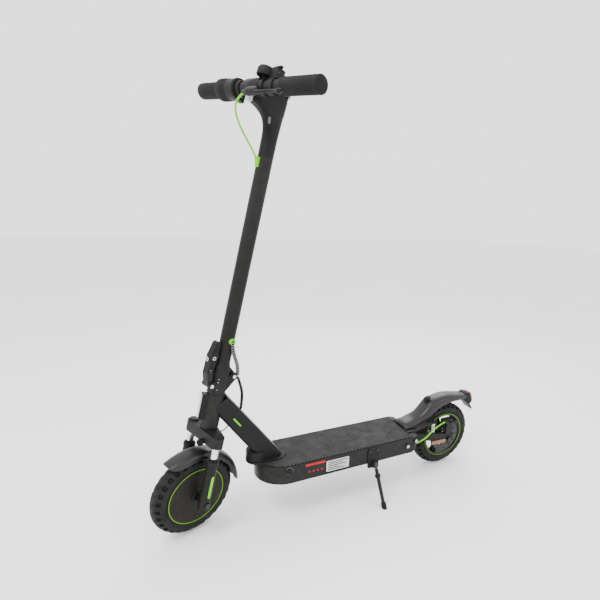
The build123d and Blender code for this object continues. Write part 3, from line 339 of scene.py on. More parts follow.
# ---------------------------------------------------------------- cords
def cord(name, points, radius, place, body, node, look):
    """A cable along one smooth NURBS line through its control points."""
    data = bpy.data.curves.new(name, "CURVE")
    data.dimensions = "3D"
    line = data.splines.new("NURBS")
    line.points.add(len(points) - 1)
    for control, here in zip(line.points, points):
        control.co = (*(place @ Vector(here)), 1.0)
    line.order_u = 3
    line.use_endpoint_u = True
    line.resolution_u = 16
    data.bevel_depth = radius / 1000
    data.bevel_resolution = 5
    data.use_fill_caps = True
    data.materials.append(look)
    obj = bpy.data.objects.new(name, data)
    bpy.context.scene.collection.objects.link(obj)
    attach(obj, body)
    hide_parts(node)
    return obj


barrel = move(BAR_FORWARD, 0, BAR_HEIGHT) @ turn("Y", LEVER_DROOP) @ Vector((36, 0, 0))
front_points = [
    (barrel.x, 5, barrel.z + 1),
    (barrel.x + 1, -19, 1062),
    (barrel.x - 1, -26, 1038),
    (80, -19, 1006),
    (48, -8, 973),
    (25, 0, 947),
]
cord(
    "front_cable", front_points, 2.5, STEERING, "stem", "front_brake_cable", bright,
)
upper_points = [(-1, 21.5, 473), (-4, 27, 448), (-22, 23, 422), (-45, 14, 394), (-57, 5, 366)]
upper_wrap = cord(
    "wrap_upper", upper_points, 3.4, STEERING, "stem", "upper_cable_wrap", sleeve,
)
lower_start = IN_FRAME @ Vector((-59.5, 3.5, 360))
lower_points = [
    tuple(lower_start), (lower_start.x - 7, -11, 428), (lower_start.x - 8, -5, 398), (767, 0, 362),
]
lower_wrap = cord(
    "wrap_lower", lower_points, 3.4, FRAME, "frame", "lower_cable_wrap", sleeve,
)
lead_start = IN_FRAME @ Vector((-27.9, 0, 185))
lead_points = [
    tuple(lead_start),
    (lead_start.x - 18, -7, lead_start.z + 3),
    (lead_start.x - 32, -3, lead_start.z + 16),
    (798, 0, 330),
]
cord(
    "motor_lead_line", lead_points, 1.8, FRAME, "frame", "motor_lead", sleeve,
)
rear_points = [(180, 84, 155), (136, 81, 160), (98, 71, 178), (62, 63, 193), (29.5, 60.5, 200)]
cord(
    "rear_cable", rear_points, 2.5, FRAME, "frame", "rear_brake_cable", bright,
)


# ---------------------------------------------------------------- shapes
def skin(rows, closed_rows=False, closed_ring=False):
    """Points and faces of a surface through rows of points."""
    wide = len(rows[0])
    points = [p for row in rows for p in row]
    faces = []
    for i in range(len(rows) if closed_rows else len(rows) - 1):
        below = (i + 1) % len(rows)
        for j in range(wide if closed_ring else wide - 1):
            beside = (j + 1) % wide
            faces.append((i * wide + j, i * wide + beside, below * wide + beside, below * wide + j))
    return points, faces


def turned(outline, steps=96, closed=True):
    """A closed outline of (radius, side) turned about Y."""
    rows = []
    for i in range(steps):
        angle = 2 * math.pi * i / steps
        rows.append([(r * math.sin(angle), y, r * math.cos(angle)) for r, y in outline])
    return skin(rows, closed_rows=True, closed_ring=closed)


def slab(outline, low, high):
    """A flat (x, z) outline carried across Y."""
    count = len(outline)
    points = [(x, low, z) for x, z in outline] + [(x, high, z) for x, z in outline]
    faces = [tuple(range(count)), tuple(range(2 * count - 1, count - 1, -1))]
    for i in range(count):
        beside = (i + 1) % count
        faces.append((i, beside, count + beside, count + i))
    return points, faces


def rounded(width, height, corner, x=0.0, z=0.0, steps=5):
    """A rounded rectangle outline."""
    outline = []
    for sx, sz, first in ((1, 1, 0), (-1, 1, 90), (-1, -1, 180), (1, -1, 270)):
        for k in range(steps + 1):
            angle = math.radians(first + 90 * k / steps)
            outline.append((
                x + sx * (width / 2 - corner) + corner * math.cos(angle),
                z + sz * (height / 2 - corner) + corner * math.sin(angle),
            ))
    return outline


def sweep(path, radius, sides=8, closed=False):
    """A tube along a list of points."""
    rows = []
    side = None
    for i, here in enumerate(path):
        before = path[max(0, i - 1)]
        after = path[min(len(path) - 1, i + 1)]
        along = (after - before).normalized()
        if side is None:
            side = along.orthogonal()
        side = (side - along * side.dot(along)).normalized()
        other = along.cross(side)
        rows.append([
            here + radius * (
                math.cos(2 * math.pi * k / sides) * side + math.sin(2 * math.pi * k / sides) * other
            )
            for k in range(sides)
        ])
    points, faces = skin(rows, closed_ring=True)
    faces.append(tuple(range(sides)))
    faces.append(tuple(range(len(points) - 1, len(points) - 1 - sides, -1)))
    return points, faces


def make(name, shape, place, body, look, bevel=0.0, thick=0.0, sharp=38.0, replaces=()):
    """Turn points and faces into a finished piece that rides on a body."""
    points, faces = shape
    mesh = bpy.data.meshes.new(name)
    mesh.from_pydata([place @ Vector(p) for p in points], [], faces)
    shape = bmesh.new()
    shape.from_mesh(mesh)
    bmesh.ops.remove_doubles(shape, verts=shape.verts, dist=1e-6)
    bmesh.ops.recalc_face_normals(shape, faces=shape.faces)
    if bevel > 0:
        crisp = [
            e
            for e in shape.edges if len(e.link_faces) == 2 and e.calc_face_angle(0.0) > math.radians(30)
        ]
        bmesh.ops.bevel(
            shape, geom=crisp, offset=bevel / 1000, segments=3, profile=0.5, affect="EDGES",
            clamp_overlap=True,
        )
    shape.to_mesh(mesh)
    shape.free()
    obj = bpy.data.objects.new(name, mesh)
    bpy.context.scene.collection.objects.link(obj)
    if thick > 0:
        wall = obj.modifiers.new("wall", "SOLIDIFY")
        wall.thickness = thick / 1000
        wall.offset = -1.0
        settled = bpy.data.meshes.new_from_object(obj.evaluated_get(bpy.context.evaluated_depsgraph_get()))
        obj.modifiers.clear()
        obj.data = settled
        mesh = settled
    mesh.shade_smooth()
    mesh.set_sharp_from_angle(angle=math.radians(sharp))
    mesh.materials.clear()
    mesh.materials.append(look)
    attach(obj, body)
    for node in replaces:
        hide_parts(node)
    return obj


def joined(*shapes):
    """Several sets of points and faces as one."""
    points = []
    faces = []
    for more_points, more_faces in shapes:
        shift = len(points)
        points += [tuple(p) for p in more_points]
        faces += [tuple(i + shift for i in face) for face in more_faces]
    return points, faces


def shifted(shape, place):
    """A shape put somewhere else."""
    points, faces = shape
    return [tuple(place @ Vector(p)) for p in points], faces


def window(value, low, high, soft):
    """1 inside a range, 0 outside it, with soft ends."""
    rise = min(1.0, max(0.0, (value - low) / soft + 0.5))
    fall = min(1.0, max(0.0, (high - value) / soft + 0.5))
    return rise * fall


# ---------------------------------------------------------------- tyres
TYRE_BLOCKS = 30


def tyre_shape():
    """A solid tyre with shoulder pockets and curved tread cuts."""
    around = 480
    across_steps = 60
    rows = []
    for i in range(around):
        angle = 2 * math.pi * i / around
        beat = (angle / (2 * math.pi) * TYRE_BLOCKS) % 1.0
        row = [(RIM_RADIUS + 0.5, -22.0), (RIM_RADIUS + 3, -23.5)]
        for j in range(across_steps + 1):
            tilt = -88 + 176 * j / across_steps
            side = abs(tilt)
            dent = 6.0 * window(beat, 0.18, 0.66, 0.07) * window(side, 36, 62, 6)
            slant = (angle / (2 * math.pi) * TYRE_BLOCKS + side * 0.016) % 1.0
            dent += 1.7 * window(slant, 0.74, 0.94, 0.08) * window(side, 5, 40, 5)
            dent += 1.3 * window(side, 0, 3.2, 3)
            dent += 0.7 * window(side, 70, 74, 3)
            reach = TREAD_RADIUS - dent
            row.append((
                TYRE_RADIUS - TREAD_RADIUS + reach * math.cos(math.radians(tilt)),
                reach * math.sin(math.radians(tilt)),
            ))
        row += [(RIM_RADIUS + 3, 23.5), (RIM_RADIUS + 0.5, 22.0)]
        rows.append([(r * math.sin(angle), y, r * math.cos(angle)) for r, y in row])
    return skin(rows, closed_rows=True, closed_ring=True)


tread = tyre_shape()
make("tyre_front", tread, FRONT_WHEEL, "front_wheel", tyre_rubber, sharp=50, replaces=["front_tyre"])
make("tyre_rear", tread, REAR_WHEEL, "rear_wheel", tyre_rubber, sharp=50, replaces=["rear_tyre"])


def ring_shape(inner, outer, low, high, bevel=0.5):
    """A flat ring about Y with eased edges."""
    return turned([
        (inner, low), (inner, high - bevel), (inner + bevel, high), (outer - bevel, high),
        (outer, high - bevel), (outer, low),
    ], 144)


for side, tag in SIDES:
    flip = facing(side)
    for wheel, place, body in (("front", FRONT_WHEEL, "front_wheel"), ("rear", REAR_WHEEL, "rear_wheel")):
        make(
            f"{wheel}_ring_{tag}", ring_shape(84.6, 86.9 if wheel == "front" else 86.3, 23.6, 25.0),
            place @ flip, body, ring_green,
        )
        make(
            f"{wheel}_rim_lip_{tag}", ring_shape(87.6, 90.4, 22.5, 24.6), place @ flip, body, alloy,
        )
    dish = [
        (20, 23.5), (20, 27.6), (24, 28.2), (30, 27.4), (34, 26.2), (60, 25.7), (74, 25.4), (80, 24.9),
        (83.2, 24.2), (83.2, 23.5),
    ]
    make(
        f"hub_cover_{tag}", turned(dish, 144), FRONT_WHEEL @ flip, "front_wheel", cover,
        sharp=50,
    )
    cap = [(9.4, 23.8), (9.4, 29.6), (11, 30.2), (17, 29.8), (19.4, 28.4), (19.4, 23.8)]
    make(f"hub_cap_{tag}", turned(cap, 96), FRONT_WHEEL @ flip, "front_wheel", alloy, sharp=50)


def socket_screw(radius, height, hollow, depth, steps=36):
    """A screw head about Y with a hexagon recess."""
    rows = []
    for i in range(steps):
        angle = 2 * math.pi * i / steps
        flat = math.cos(math.radians(30)) / math.cos(((angle + math.pi / 6) % (math.pi / 3)) - math.pi / 6)
        outline = [
            (radius, 0), (radius, height * 0.7), (radius * 0.9, height), (hollow * flat * 1.12, height),
            (hollow * flat, height - 0.2), (hollow * flat * 0.98, height - depth), (0.01, height - depth),
        ]
        rows.append([(r * math.sin(angle), y, r * math.cos(angle)) for r, y in outline])
    return skin(rows, closed_rows=True)


def screws(name, spots, radius, height, place, body, look, hollow=0.48):
    """Screw heads at (x, y, z, side): side is the way the head faces along Y."""
    head = socket_screw(radius, height, radius * hollow, height * 0.6)
    shapes = []
    for x, y, z, side in spots:
        shapes.append(shifted(head, move(x, y, z) @ facing(side)))
    return make(name, joined(*shapes), place, body, look, sharp=35)


hub_spots = []
for k in range(6):
    angle = math.radians(60 * k + 12)
    for side in (-1, 1):
        hub_spots.append((68 * math.sin(angle), side * 25.4, 68 * math.cos(angle), side))
screws("hub_cover_screws", hub_spots, 3.4, 1.6, FRONT_WHEEL, "front_wheel", dark_steel)
disc_spots = []
for k in range(6):
    angle = math.radians(60 * k + 30)
    disc_spots.append((24.5 * math.sin(angle), 34.4, 24.5 * math.cos(angle), 1))
screws("brake_disc_screws", disc_spots, 3.0, 1.8, REAR_WHEEL, "rear_wheel", steel)

# ---------------------------------------------------------------- fork details
for side, tag in SIDES:
    rows = []
    for k in range(25):
        share = k / 24
        level = 21 + 70 * share
        narrow = math.sqrt(max(0.0, 1 - (2 * share - 1) ** 12))
        row = []
        for m in range(9):
            spread = (m / 8 - 0.5) * 2
            angle = math.radians(90 - spread * 15 * narrow)
            lift = 16.15 + 0.9 * (1 - spread**4) * narrow
            row.append((RAKE + lift * math.cos(angle), side * (LEG_SPREAD + lift * math.sin(angle)), level))
        rows.append(row)
    make(f"leg_strip_{tag}", skin(rows), STEERING, "fork_lower", bright, thick=0.6)
    bellows = [(11.1, 134.5)]
    for k in range(2):
        bellows += [(13.2, 136.5 + 3 * k), (12.0, 138 + 3 * k)]
    bellows.append((11.1, 141.5))
    seal = turned(bellows, 48)
    upright = move(RAKE, side * LEG_SPREAD, 0) @ turn("X", 90)
    make(f"leg_seal_{tag}", seal, STEERING @ upright, "fork_lower", rubber, sharp=50)

for k, radius in enumerate((3.0, 5.4, 7.4)):
    make(f"horn_ring_{k}", ring_shape(radius - 0.5, radius + 0.5, 0.0, 0.9, 0.25),
         STEERING @ move(40, 20, 174) @ turn("Z", -90), "steerer", satin)


# ---------------------------------------------------------------- mudguards
def power(value, exponent):
    """A power that keeps the sign."""
    return math.copysign(abs(value) ** exponent, value)


def front_guard_shape():
    """A crowned guard round the front wheel with rounded tips."""
    first, last = -82.0, 44.0
    rows = []
    for i in range(97):
        angle = first + (last - first) * i / 96
        ease = min(1.0, (angle - first) / 20, (last - angle) / 20)
        round_off = math.sqrt(max(0.0, 1 - (1 - ease) ** 2))
        skirt = 140.0 - 20.0 * round_off
        half = 30.5 * (0.62 + 0.38 * round_off)
        flare = 4.0 * (1 - ease) ** 2
        row = []
        for j in range(41):
            t = math.radians(-90 + 180 * j / 40)
            reach = skirt + (144.0 - skirt) * abs(math.cos(t)) ** 0.62 + flare
            y = half * power(math.sin(t), 0.78)
            a = math.radians(angle)
            row.append((reach * math.sin(a), y, reach * math.cos(a)))
        rows.append(row)
    return skin(rows)


make(
    "front_guard", front_guard_shape(), FRONT_WHEEL, "fork_lower", guard, thick=2.4,
    sharp=60, replaces=["front_fender"],
)


def smooth_line(stops, count):
    """Points spread evenly along a smooth line through the stops."""
    line = []
    last = len(stops) - 1
    for i in range(count):
        place = last * i / (count - 1)
        k = min(int(place), last - 1)
        t = place - k
        p0, p1, p2, p3 = (stops[max(0, min(last, k + d))] for d in (-1, 0, 1, 2))
        line.append(tuple(
            0.5 * (2 * b + (c - a) * t + (2 * a - 5 * b + 4 * c - d) * t * t + (3 * b - a - 3 * c + d) * t**3)
            for a, b, c, d in zip(p0, p1, p2, p3)
        ))
    return line


# each stop: crest x, crest z, skirt x, skirt z, half width
guard_stops = [
    (189, 189, 188, 186.5, 34), (187.5, 199, 180, 186.5, 35), (181, 205.5, 166, 186.8, 36),
    (165, 210, 146, 187, 36),
    (150, 213.5, 130, 187.5, 36), (137, 218.5, 118, 189, 36), (120, 228.5, 106, 193, 36),
    (104, 240.5, 94, 205, 36),
    (89, 255.5, 82, 219, 36), (76, 270.5, 66, 231, 36), (62, 277.5, 52, 241, 36), (45, 282.5, 32, 251, 35.5),
    (10, 288, 2, 259.5, 35), (-14, 288, -18, 263, 34.5), (-30, 286.5, -31, 263.5, 34),
    (-45, 284.5, -44, 263, 33),
    (-62, 281.5, -60, 262.5, 31.5), (-80, 278.5, -80, 262.5, 29), (-99, 275, -100, 262.5, 26),
]


def rear_guard_shape():
    """The crowned rear mudguard, from its foot on the deck to its tail."""
    rows = []
    for x, z, low_x, low_z, half in smooth_line(guard_stops, 113):
        row = []
        for j in range(49):
            t = math.radians(180 * j / 48)
            up = abs(math.sin(t)) ** 0.62
            row.append((low_x + (x - low_x) * up, half * power(math.cos(t), 0.62), low_z + (z - low_z) * up))
        rows.append(row)
    return skin(rows)


make(
    "rear_guard", rear_guard_shape(), FRAME, "frame", guard, thick=2.6, sharp=60,
    replaces=["rear_fender"],
)
lamp_outline = [
    (-92, 262), (-92, 274.5), (-104, 280), (-118, 278), (-134, 240),
    (-124, 232), (-140, 209), (-136, 206), (-112, 234), (-98, 248),
]
make("tail_lamp_housing", slab(lamp_outline, -21, 21), FRAME, "frame", satin, bevel=1.6)
hook_outline = [(86, 264), (86, 281), (78, 285.5), (66, 287.5), (61, 283.5), (73, 279), (75, 268)]
make("latch_hook", slab(hook_outline, -8, 8), FRAME, "frame", satin, bevel=1.4)
make(
    "guard_foot", slab([(152, 186.1), (188, 186.1), (188, 189.6), (150, 189.6)], -38, 38), FRAME, "frame",
    satin, bevel=1.0,
)
lens_outline = [(-119.4, 277.5), (-134.6, 241.5), (-139.5, 242), (-134, 262), (-125, 279.5)]
make(
    "tail_lens", slab(lens_outline, -18, 18), FRAME, "frame", red_lens, bevel=1.8,
    replaces=["tail_light_lens"],
)


# ---------------------------------------------------------------- springs
def coil(radius, wire, low, high, turns):
    """A round-wire spring about Z with closed end turns."""
    path = []
    count = int(turns * 28)
    for i in range(count + 1):
        share = i / count
        flat = 0.11
        rise = 0.0 if share < flat else 1.0 if share > 1 - flat else (share - flat) / (1 - 2 * flat)
        level = low + wire + (high - low - 2 * wire) * (0.06 * share + 0.94 * rise)
        angle = 2 * math.pi * turns * share
        path.append(Vector((radius * math.cos(angle), radius * math.sin(angle), level)))
    return sweep(path, wire, 8)


coils = joined(*[shifted(coil(6.8, 1.25, 166, 200, 6.5), move(75, 50 * side, 0)) for side in (-1, 1)])
make("spring_coils", coils, FRAME, "swing_arm", polished, sharp=60, replaces=["rear_springs"])


# ---------------------------------------------------------------- bar: grips, bell and throttle
def grip_shape(side, inner, outer, flare):
    """A rubber grip with a diamond pattern, a collar and a flared end."""
    rows = []
    length = outer - inner
    count = 110
    for i in range(count + 1):
        along = length * i / count
        collar = 1.6 * window(along, 0.5, 4.5, 1.5)
        late = max(0.0, (along - length * 0.62) / (length * 0.38))
        base = 18.9 + flare * late**2
        if along > length - 5:
            base -= 3.6 * ((along - length + 5) / 5) ** 2
        band = window(along, 9, length - 16, 3)
        row = []
        for j in range(120):
            angle = 2 * math.pi * j / 120
            mesh_a = math.sin(15 * angle + along * 0.75)
            mesh_b = math.sin(15 * angle - along * 0.75)
            relief = 0.55 * window(mesh_a * mesh_b, 0.08, 9, 0.35) * band
            r = base + collar + relief
            row.append((r * math.sin(angle), side * (inner + along), r * math.cos(angle)))
        rows.append(row)
    near = [
        (16.0 * math.sin(2 * math.pi * j / 120), side * inner, 16.0 * math.cos(2 * math.pi * j / 120))
        for j in range(120)
    ]
    rows.insert(0, near)
    for r, lift in ((12.0, 0.7), (0.01, 0.9)):
        rows.append([
            (
                r * math.sin(2 * math.pi * j / 120), side * (outer + lift),
                r * math.cos(2 * math.pi * j / 120),
            ) for j in range(120)
        ])
    return skin(rows, closed_ring=True)


grips = joined(grip_shape(1, 104, 224.5, 0.9), grip_shape(-1, 134, 224.5, 0.6))
make("grip_pair", grips, BAR, "stem", rubber, sharp=60, replaces=["grips"])

ribs = []
for i in range(224):
    angle = 2 * math.pi * i / 224
    swell = 0.55 * (0.5 + 0.5 * math.cos(28 * angle)) ** 2
    outline = [
        (20.6, 19.6), (21.4 + swell, 20.6), (21.0 + swell, 28), (20.0 + swell, 35.0), (18.8, 37.6),
        (17.4, 39.2), (16.8, 38.2),
    ]
    ribs.append([(r * math.cos(angle), r * math.sin(angle), z) for r, z in outline])
make(
    "bell_ribs", skin(ribs, closed_rows=True, closed_ring=True), BELL, "stem", satin,
    sharp=50,
)
cap_rows = []
for i in range(72):
    angle = 2 * math.pi * i / 72
    outline = [(17.2, 38.3), (16.8, 39.8), (14.0, 41.2), (9.6, 42.2), (4.4, 42.7), (0.01, 42.8)]
    cap_rows.append([(r * math.cos(angle), r * math.sin(angle), z) for r, z in outline])
make("bell_cap", skin(cap_rows, closed_rows=True), BELL, "stem", gloss, sharp=50)
screws("bell_screws", [(-6, 83.2, 27, 1), (6, 83.2, 27, 1)], 2.2, 1.2, BAR, "stem", dark_steel)
for start, wide in ((-104.5, 2.2), (-98, 2.2), (-66, 2.0)):
    band = ring_shape(23.6, 24.9, 0, wide, 0.4)
    make(f"throttle_band_{int(-start)}", band, BAR @ move(0, start, 0), "stem", satin)
throttle_ribs = []
for i in range(192):
    angle = 2 * math.pi * i / 192
    swell = 0.5 * (0.5 + 0.5 * math.cos(32 * angle))
    outline = [(24.6, 0), (25.4 + swell, 1.2), (25.4 + swell, 20.4), (24.6, 21.6)]
    throttle_ribs.append([(r * math.sin(angle), y, r * math.cos(angle)) for r, y in outline])
make(
    "throttle_ribs", skin(throttle_ribs, closed_rows=True, closed_ring=True), BAR @ move(0, -131.4, 0),
    "throttle", rubber, sharp=50,
)
screws("perch_screws", [(21, 8.7, -25, 1)], 2.4, 1.4, LEVER @ turn("X", 90), "stem", dark_steel)

# ---------------------------------------------------------------- stem head, brake perch and lever
# each stop: height, rear x, front x, half width, squareness
head_stops = [
    (958, -20, 20, 20, 2.0), (975, -20, 20, 20, 2.0), (995, -20, 20, 20, 2.05),
    (1010, -20.2, 20.4, 19.8, 2.1),
    (1024, -20.8, 22.2, 19.4, 2.2), (1036, -21.6, 26, 18.8, 2.4), (1046, -22.4, 32.5, 18.2, 2.6),
    (1054, -23.2, 43, 17.8, 2.8),
    (1060, -23.8, 58, 17.4, 3.0), (1065, -24.4, 76, 17.1, 3.3), (1072, -25, 80, 17, 3.6),
    (1084, -25.6, 79.4, 17, 3.8),
    (1096, -26, 72, 17, 4.0), (1108, -26, 63.5, 17, 4.0), (1111, -25.4, 61.5, 16.4, 4.0),
    (1112, -23.5, 58, 14.5, 4.0),
]
rows = []
for level, rear, front, half, square in smooth_line(head_stops, 97):
    row = []
    for k in range(64):
        angle = 2 * math.pi * k / 64
        row.append((
            (rear + front) / 2 + (front - rear) / 2 * power(math.cos(angle), 2 / square),
            half * power(math.sin(angle), 2 / square),
            level,
        ))
    rows.append(row)
centre = [(18.0, 0.0, 1112.0)] * 64
make(
    "head_shell", skin(rows + [centre], closed_ring=True), STEERING, "stem", satin, sharp=50,
    replaces=["stem_head"],
)
make(
    "bar_clamp", turned([(15.9, -22), (20.6, -22), (21.2, -21.2), (21.2, 21.2), (20.6, 22), (15.9, 22)], 72),
    BAR, "stem", satin,
)


def blade(stops, count, around):
    """A body through stops of (x, y, half width in x, half thickness in z)."""
    rows = []
    for x, y, wide, thick in smooth_line(stops, count):
        rows.append([
            (
                x + wide * power(math.cos(2 * math.pi * k / around), 0.8),
                y,
                thick * power(math.sin(2 * math.pi * k / around), 0.8),
            )
            for k in range(around)
        ])
    points, faces = skin(rows, closed_ring=True)
    last = len(points)
    faces.append(tuple(range(around)))
    faces.append(tuple(range(last - 1, last - 1 - around, -1)))
    return points, faces


perch_stops = [
    (33, 6, 4, 4), (33, 8, 8, 7), (32, 14, 12.5, 9.2), (31, 22, 15, 10), (31, 30, 15.5, 10),
    (33, 38, 14.5, 9.2),
    (36, 45, 11.5, 7.6), (38, 50, 8.5, 5.6), (39, 53, 5.5, 3.2),
]
perch = joined(
    blade(perch_stops, 61, 40),
    turned([(15.9, 20), (19.8, 20), (20.6, 20.8), (20.6, 31.2), (19.8, 32), (15.9, 32)], 72),
)
make("perch_shell", perch, LEVER, "stem", satin, sharp=50, replaces=["brake_perch"])
barrel_nut = turned([(2.6, -2), (4.6, -2), (5.2, -1.2), (5.2, 3), (4.2, 4.2), (4.2, 7), (2.6, 7)], 36)
make("cable_barrel", shifted(barrel_nut, move(36, 0, 0)), LEVER, "stem", dark_steel)
lever_stops = [
    (37, 27, 5, 3), (37.5, 31, 7.5, 4), (40, 42, 7.4, 4.2), (43.4, 56, 6.2, 4.2), (44, 68, 5.4, 4),
    (43.4, 84, 4.9, 3.9),
    (42.4, 100, 4.8, 3.9), (42.6, 114, 5.2, 4), (44.4, 127, 6, 4.4), (46, 134, 7, 5.4), (46.6, 139, 6.6, 5.2),
    (46.8, 142.6, 3.4, 2.6),
]
make(
    "lever_blade", blade(lever_stops, 91, 32), LEVER, "brake_lever", satin, sharp=50,
    replaces=["brake_lever"],
)
badge = shifted(slab(rounded(9, 17, 4.4), 0, 0.9), move(25, 17, 1041) @ turn("Y", 8))
make("head_badge", badge, STEERING, "stem", badge_grey, bevel=0.35)


# ---------------------------------------------------------------- wraps round the folding cable
def line_of(obj):
    """Points along a cord's own NURBS line."""
    bare = obj.data.copy()
    bare.bevel_depth = 0.0
    holder = bpy.data.objects.new("line", bare)
    mesh = bpy.data.meshes.new_from_object(holder)
    line = [v.co.copy() for v in mesh.vertices]
    bpy.data.objects.remove(holder)
    bpy.data.meshes.remove(mesh)
    bpy.data.curves.remove(bare)
    return line


def winding(obj, lift, wire, pitch, phase, sides):
    """A helix wound round a cord, in metres."""
    line = line_of(obj)
    places = [0.0]
    for a, b in zip(line, line[1:]):
        places.append(places[-1] + (b - a).length)
    path = []
    side = None
    k = 0
    count = int(places[-1] / pitch * 20)
    for i in range(count + 1):
        along = places[-1] * (0.02 + 0.96 * i / count)
        while k < len(places) - 2 and places[k + 1] < along:
            k += 1
        share = (along - places[k]) / (places[k + 1] - places[k])
        here = line[k].lerp(line[k + 1], share)
        ahead_of = (line[k + 1] - line[k]).normalized()
        if side is None:
            side = ahead_of.orthogonal()
        side = (side - ahead_of * side.dot(ahead_of)).normalized()
        other = ahead_of.cross(side)
        angle = 2 * math.pi * along / pitch + phase
        path.append(here + lift * (math.cos(angle) * side + math.sin(angle) * other))
    return sweep(path, wire, sides)


for obj, body in ((upper_wrap, "stem"), (lower_wrap, "frame")):
    make(
        obj.name + "_spiral", winding(obj, 0.0040, 0.0015, 0.0066, 0.0, 8), Matrix.Identity(4), body, satin,
        sharp=60,
    )
make(
    "wrap_thread", winding(upper_wrap, 0.0045, 0.0006, 0.0066, math.pi, 6), Matrix.Identity(4), "stem",
    thread, sharp=60,
)

# ---------------------------------------------------------------- deck and frame details
make(
    "warning_label", slab(rounded(66, 40, 2, 562.5, 163), 90.05, 90.45), FRAME, "frame", ink,
    bevel=0.1,
)
make(
    "warning_band", slab(rounded(66, 8, 1.5, 562.5, 178.6), 90.4, 90.8), FRAME, "frame", red_print,
    bevel=0.1,
)
dots = joined(*[slab(rounded(6, 6, 2.8, 541 + 14 * k, 154), 90.4, 90.8) for k in range(4)])
make("warning_dots", dots, FRAME, "frame", red_print, bevel=0.1)
make(
    "data_label", slab(rounded(80, 38, 2, 485, 157), 90.05, 90.5), FRAME, "frame", pale,
    bevel=0.1,
)
bars = joined(
    *[
        slab(rounded(wide, 3, 1.2, 485 + off, z), 90.45, 90.75)
        for wide, off, z in ((70, 0, 170), (52, 8, 163.5), (66, 2, 157), (40, 14, 150.5), (60, 5, 144))
    ]
)
make("data_label_bars", bars, FRAME, "frame", ink, bevel=0.1)
make(
    "port_ring", ring_shape(9.6, 12.2, 90.0, 91.2, 0.4), FRAME @ move(648, 0, 174), "frame", badge_grey,
)
for side, tag in SIDES:
    stripe = shifted(
        slab(rounded(34, 4.4, 2.1), *sorted((side * 24.9, side * 25.5))),
        move(783, 0, 334) @ turn("Y", -TUBE_ANGLE),
    )
    make(f"tube_stripe_{tag}", stripe, FRAME, "frame", bright, bevel=0.12)

rear_heads = []
for x, z in ((180, 172), (214, 158)):
    for side in (-1, 1):
        rear_heads.append((x, side * 93.9, z, side))
screws("rear_bolt_heads", rear_heads, 5.6, 1.6, FRAME, "frame", steel, 0.6)
pin_spots = [(-36, 18.4, 366, 1), (-36, -18.4, 366, -1), (33, 20.4, 340, 1), (33, -20.4, 340, -1)]
screws("fold_pin_heads", pin_spots, 5.2, 1.3, STEERING, "steerer", polished, 0.55)
screws(
    "fold_base_marks", [(17, 22.0, 361, 1), (17, 22.0, 352, 1), (17, 22.0, 330, 1)], 1.3, 0.5, STEERING,
    "steerer", steel,
)
LEVER_FACE = 10.7
screws(
    "lever_bolts", [(41, LEVER_FACE, 379, 1), (41, -LEVER_FACE, 379, -1)], 4.4, 1.2, STEERING, "fold_lever", dark_steel,
    0.5,
)
for side, tag in SIDES:
    eye_place = STEERING @ move(37, side * LEVER_FACE, 418) @ facing(side)
    make(f"lever_eye_{tag}", ring_shape(3.4, 5.0, 0, 0.9, 0.3), eye_place, "fold_lever", polished)
    rim_place = STEERING @ move(41, side * LEVER_FACE, 379) @ facing(side)
    make(
        f"lever_bolt_rim_{tag}", ring_shape(4.7, 5.6, 0, 0.7, 0.25), rim_place, "fold_lever", polished,
    )

cover_screws = []
for x in (215, 345, 480, 615):
    for side in (-1, 1):
        cover_screws.append((x, 127.6, side * 76, 1))
deck_under = FRAME @ Matrix(((1, 0, 0, 0), (0, 0, 1, 0), (0, -1, 0, 255.0), (0, 0, 0, 1)))
screws("cover_screw_heads", cover_screws, 3.2, 1.0, deck_under, "frame", dark_steel)

knob = turned([(5.9, -8), (7.4, -6.5), (9.3, -3.5), (9.9, 0), (9.3, 3.5), (7.4, 6.5), (5.9, 8)], 48)
down_leg = move(350, 103, 126) @ turn("X", -60)
make("stand_knob", shifted(knob, move(0, 36, 0)), FRAME @ down_leg, "side_stand", satin, sharp=50)

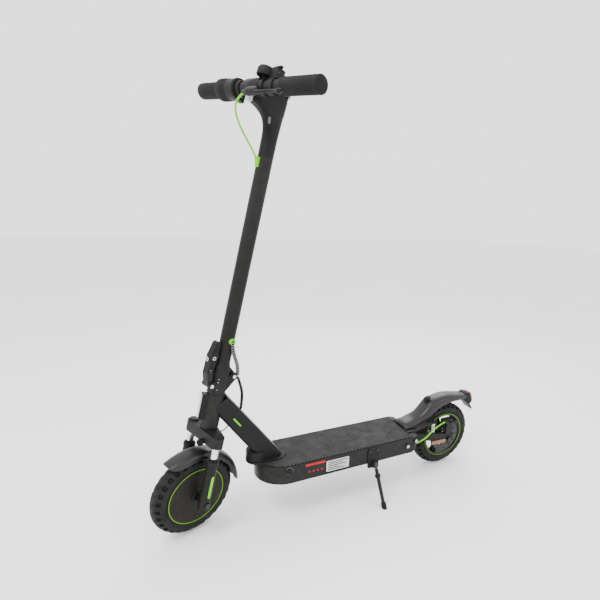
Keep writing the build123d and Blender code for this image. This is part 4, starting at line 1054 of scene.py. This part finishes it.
# ---------------------------------------------------------------- finishes on the carried-over nodes
finishes = {
    alloy: [
        "head_tube", "down_tube", "deck_shell", "deck_bottom_cover", "front_hub", "rear_rim", "fork_legs",
        "fork_crown",
        "fold_base", "stem_tube", "handlebar", "fold_lever", "swingarm", "motor_controller", "rear_bracket",
        "stand_bracket", "caliper_arm", "brake_caliper", "stand_leg",
    ],
    satin: ["throttle_housing", "throttle_paddle", "charge_port", "horn", "bell", "bell_striker"],
    steel: ["motor_stator", "fork_springs"],
    dark_steel: ["brake_disc", "frame_bolts", "front_axle", "rear_axle", "headset_bearings", "hinge_pins"],
    polished: ["stanchions", "safety_catch"],
    rubber: ["stand_foot", "charge_cap", "power_button"],
    mat_rubber: ["deck_mat"],
    bright: ["cable_grommets"],
    amber: ["side_reflectors"],
    white_reflector: ["front_reflector"],
    clear_lens: ["headlight_lens"],
    screen: ["display"],
    battery_wrap: ["battery_pack"],
}
for look, names in finishes.items():
    for name in names:
        for held in cad[name].material_slots:
            held.material = look

# ---------------------------------------------------------------- floor and light
floor_mesh = bpy.data.meshes.new("floor")
floor_mesh.from_pydata([(-20, -20, 0), (20, -20, 0), (20, 20, 0), (-20, 20, 0)], [], [(0, 1, 2, 3)])
floor = bpy.data.objects.new("floor", floor_mesh)
bpy.context.scene.collection.objects.link(floor)
pale_floor = Look("studio_floor")
pale_floor.link(
    pale_floor.ramp(pale_floor.noise(1.5), [(0.3, (0.90, 0.90, 0.90)), (0.7, (0.93, 0.93, 0.93))]),
    pale_floor.shader.inputs["Base Color"],
)
pale_floor.link(pale_floor.spread(pale_floor.noise(4.0), 0.75, 0.9), pale_floor.shader.inputs["Roughness"])
floor_mesh.materials.append(pale_floor.material)

sky = bpy.data.worlds.new("studio")
sky.use_nodes = True
sky.node_tree.nodes["Background"].inputs["Color"].default_value = (1.0, 1.0, 1.0, 1.0)
sky.node_tree.nodes["Background"].inputs["Strength"].default_value = 2.2
bpy.context.scene.world = sky


def soft_light(name, place, target, width, power):
    """A round area light aimed at a point."""
    data = bpy.data.lights.new(name, "AREA")
    data.shape = "DISK"
    data.size = width
    data.energy = power
    lamp = bpy.data.objects.new(name, data)
    lamp.location = place
    lamp.rotation_euler = (Vector(target) - Vector(place)).to_track_quat("-Z", "Y").to_euler()
    bpy.context.scene.collection.objects.link(lamp)


soft_light("key", (1.5, 0.7, 2.8), (0.0, 0.0, 0.4), 1.2, 60.0)
soft_light("fill", (-1.4, 2.4, 1.6), (0.0, 0.0, 0.4), 2.2, 22.0)
soft_light("rim", (-1.2, -1.6, 1.8), (0.0, 0.0, 0.5), 1.6, 24.0)
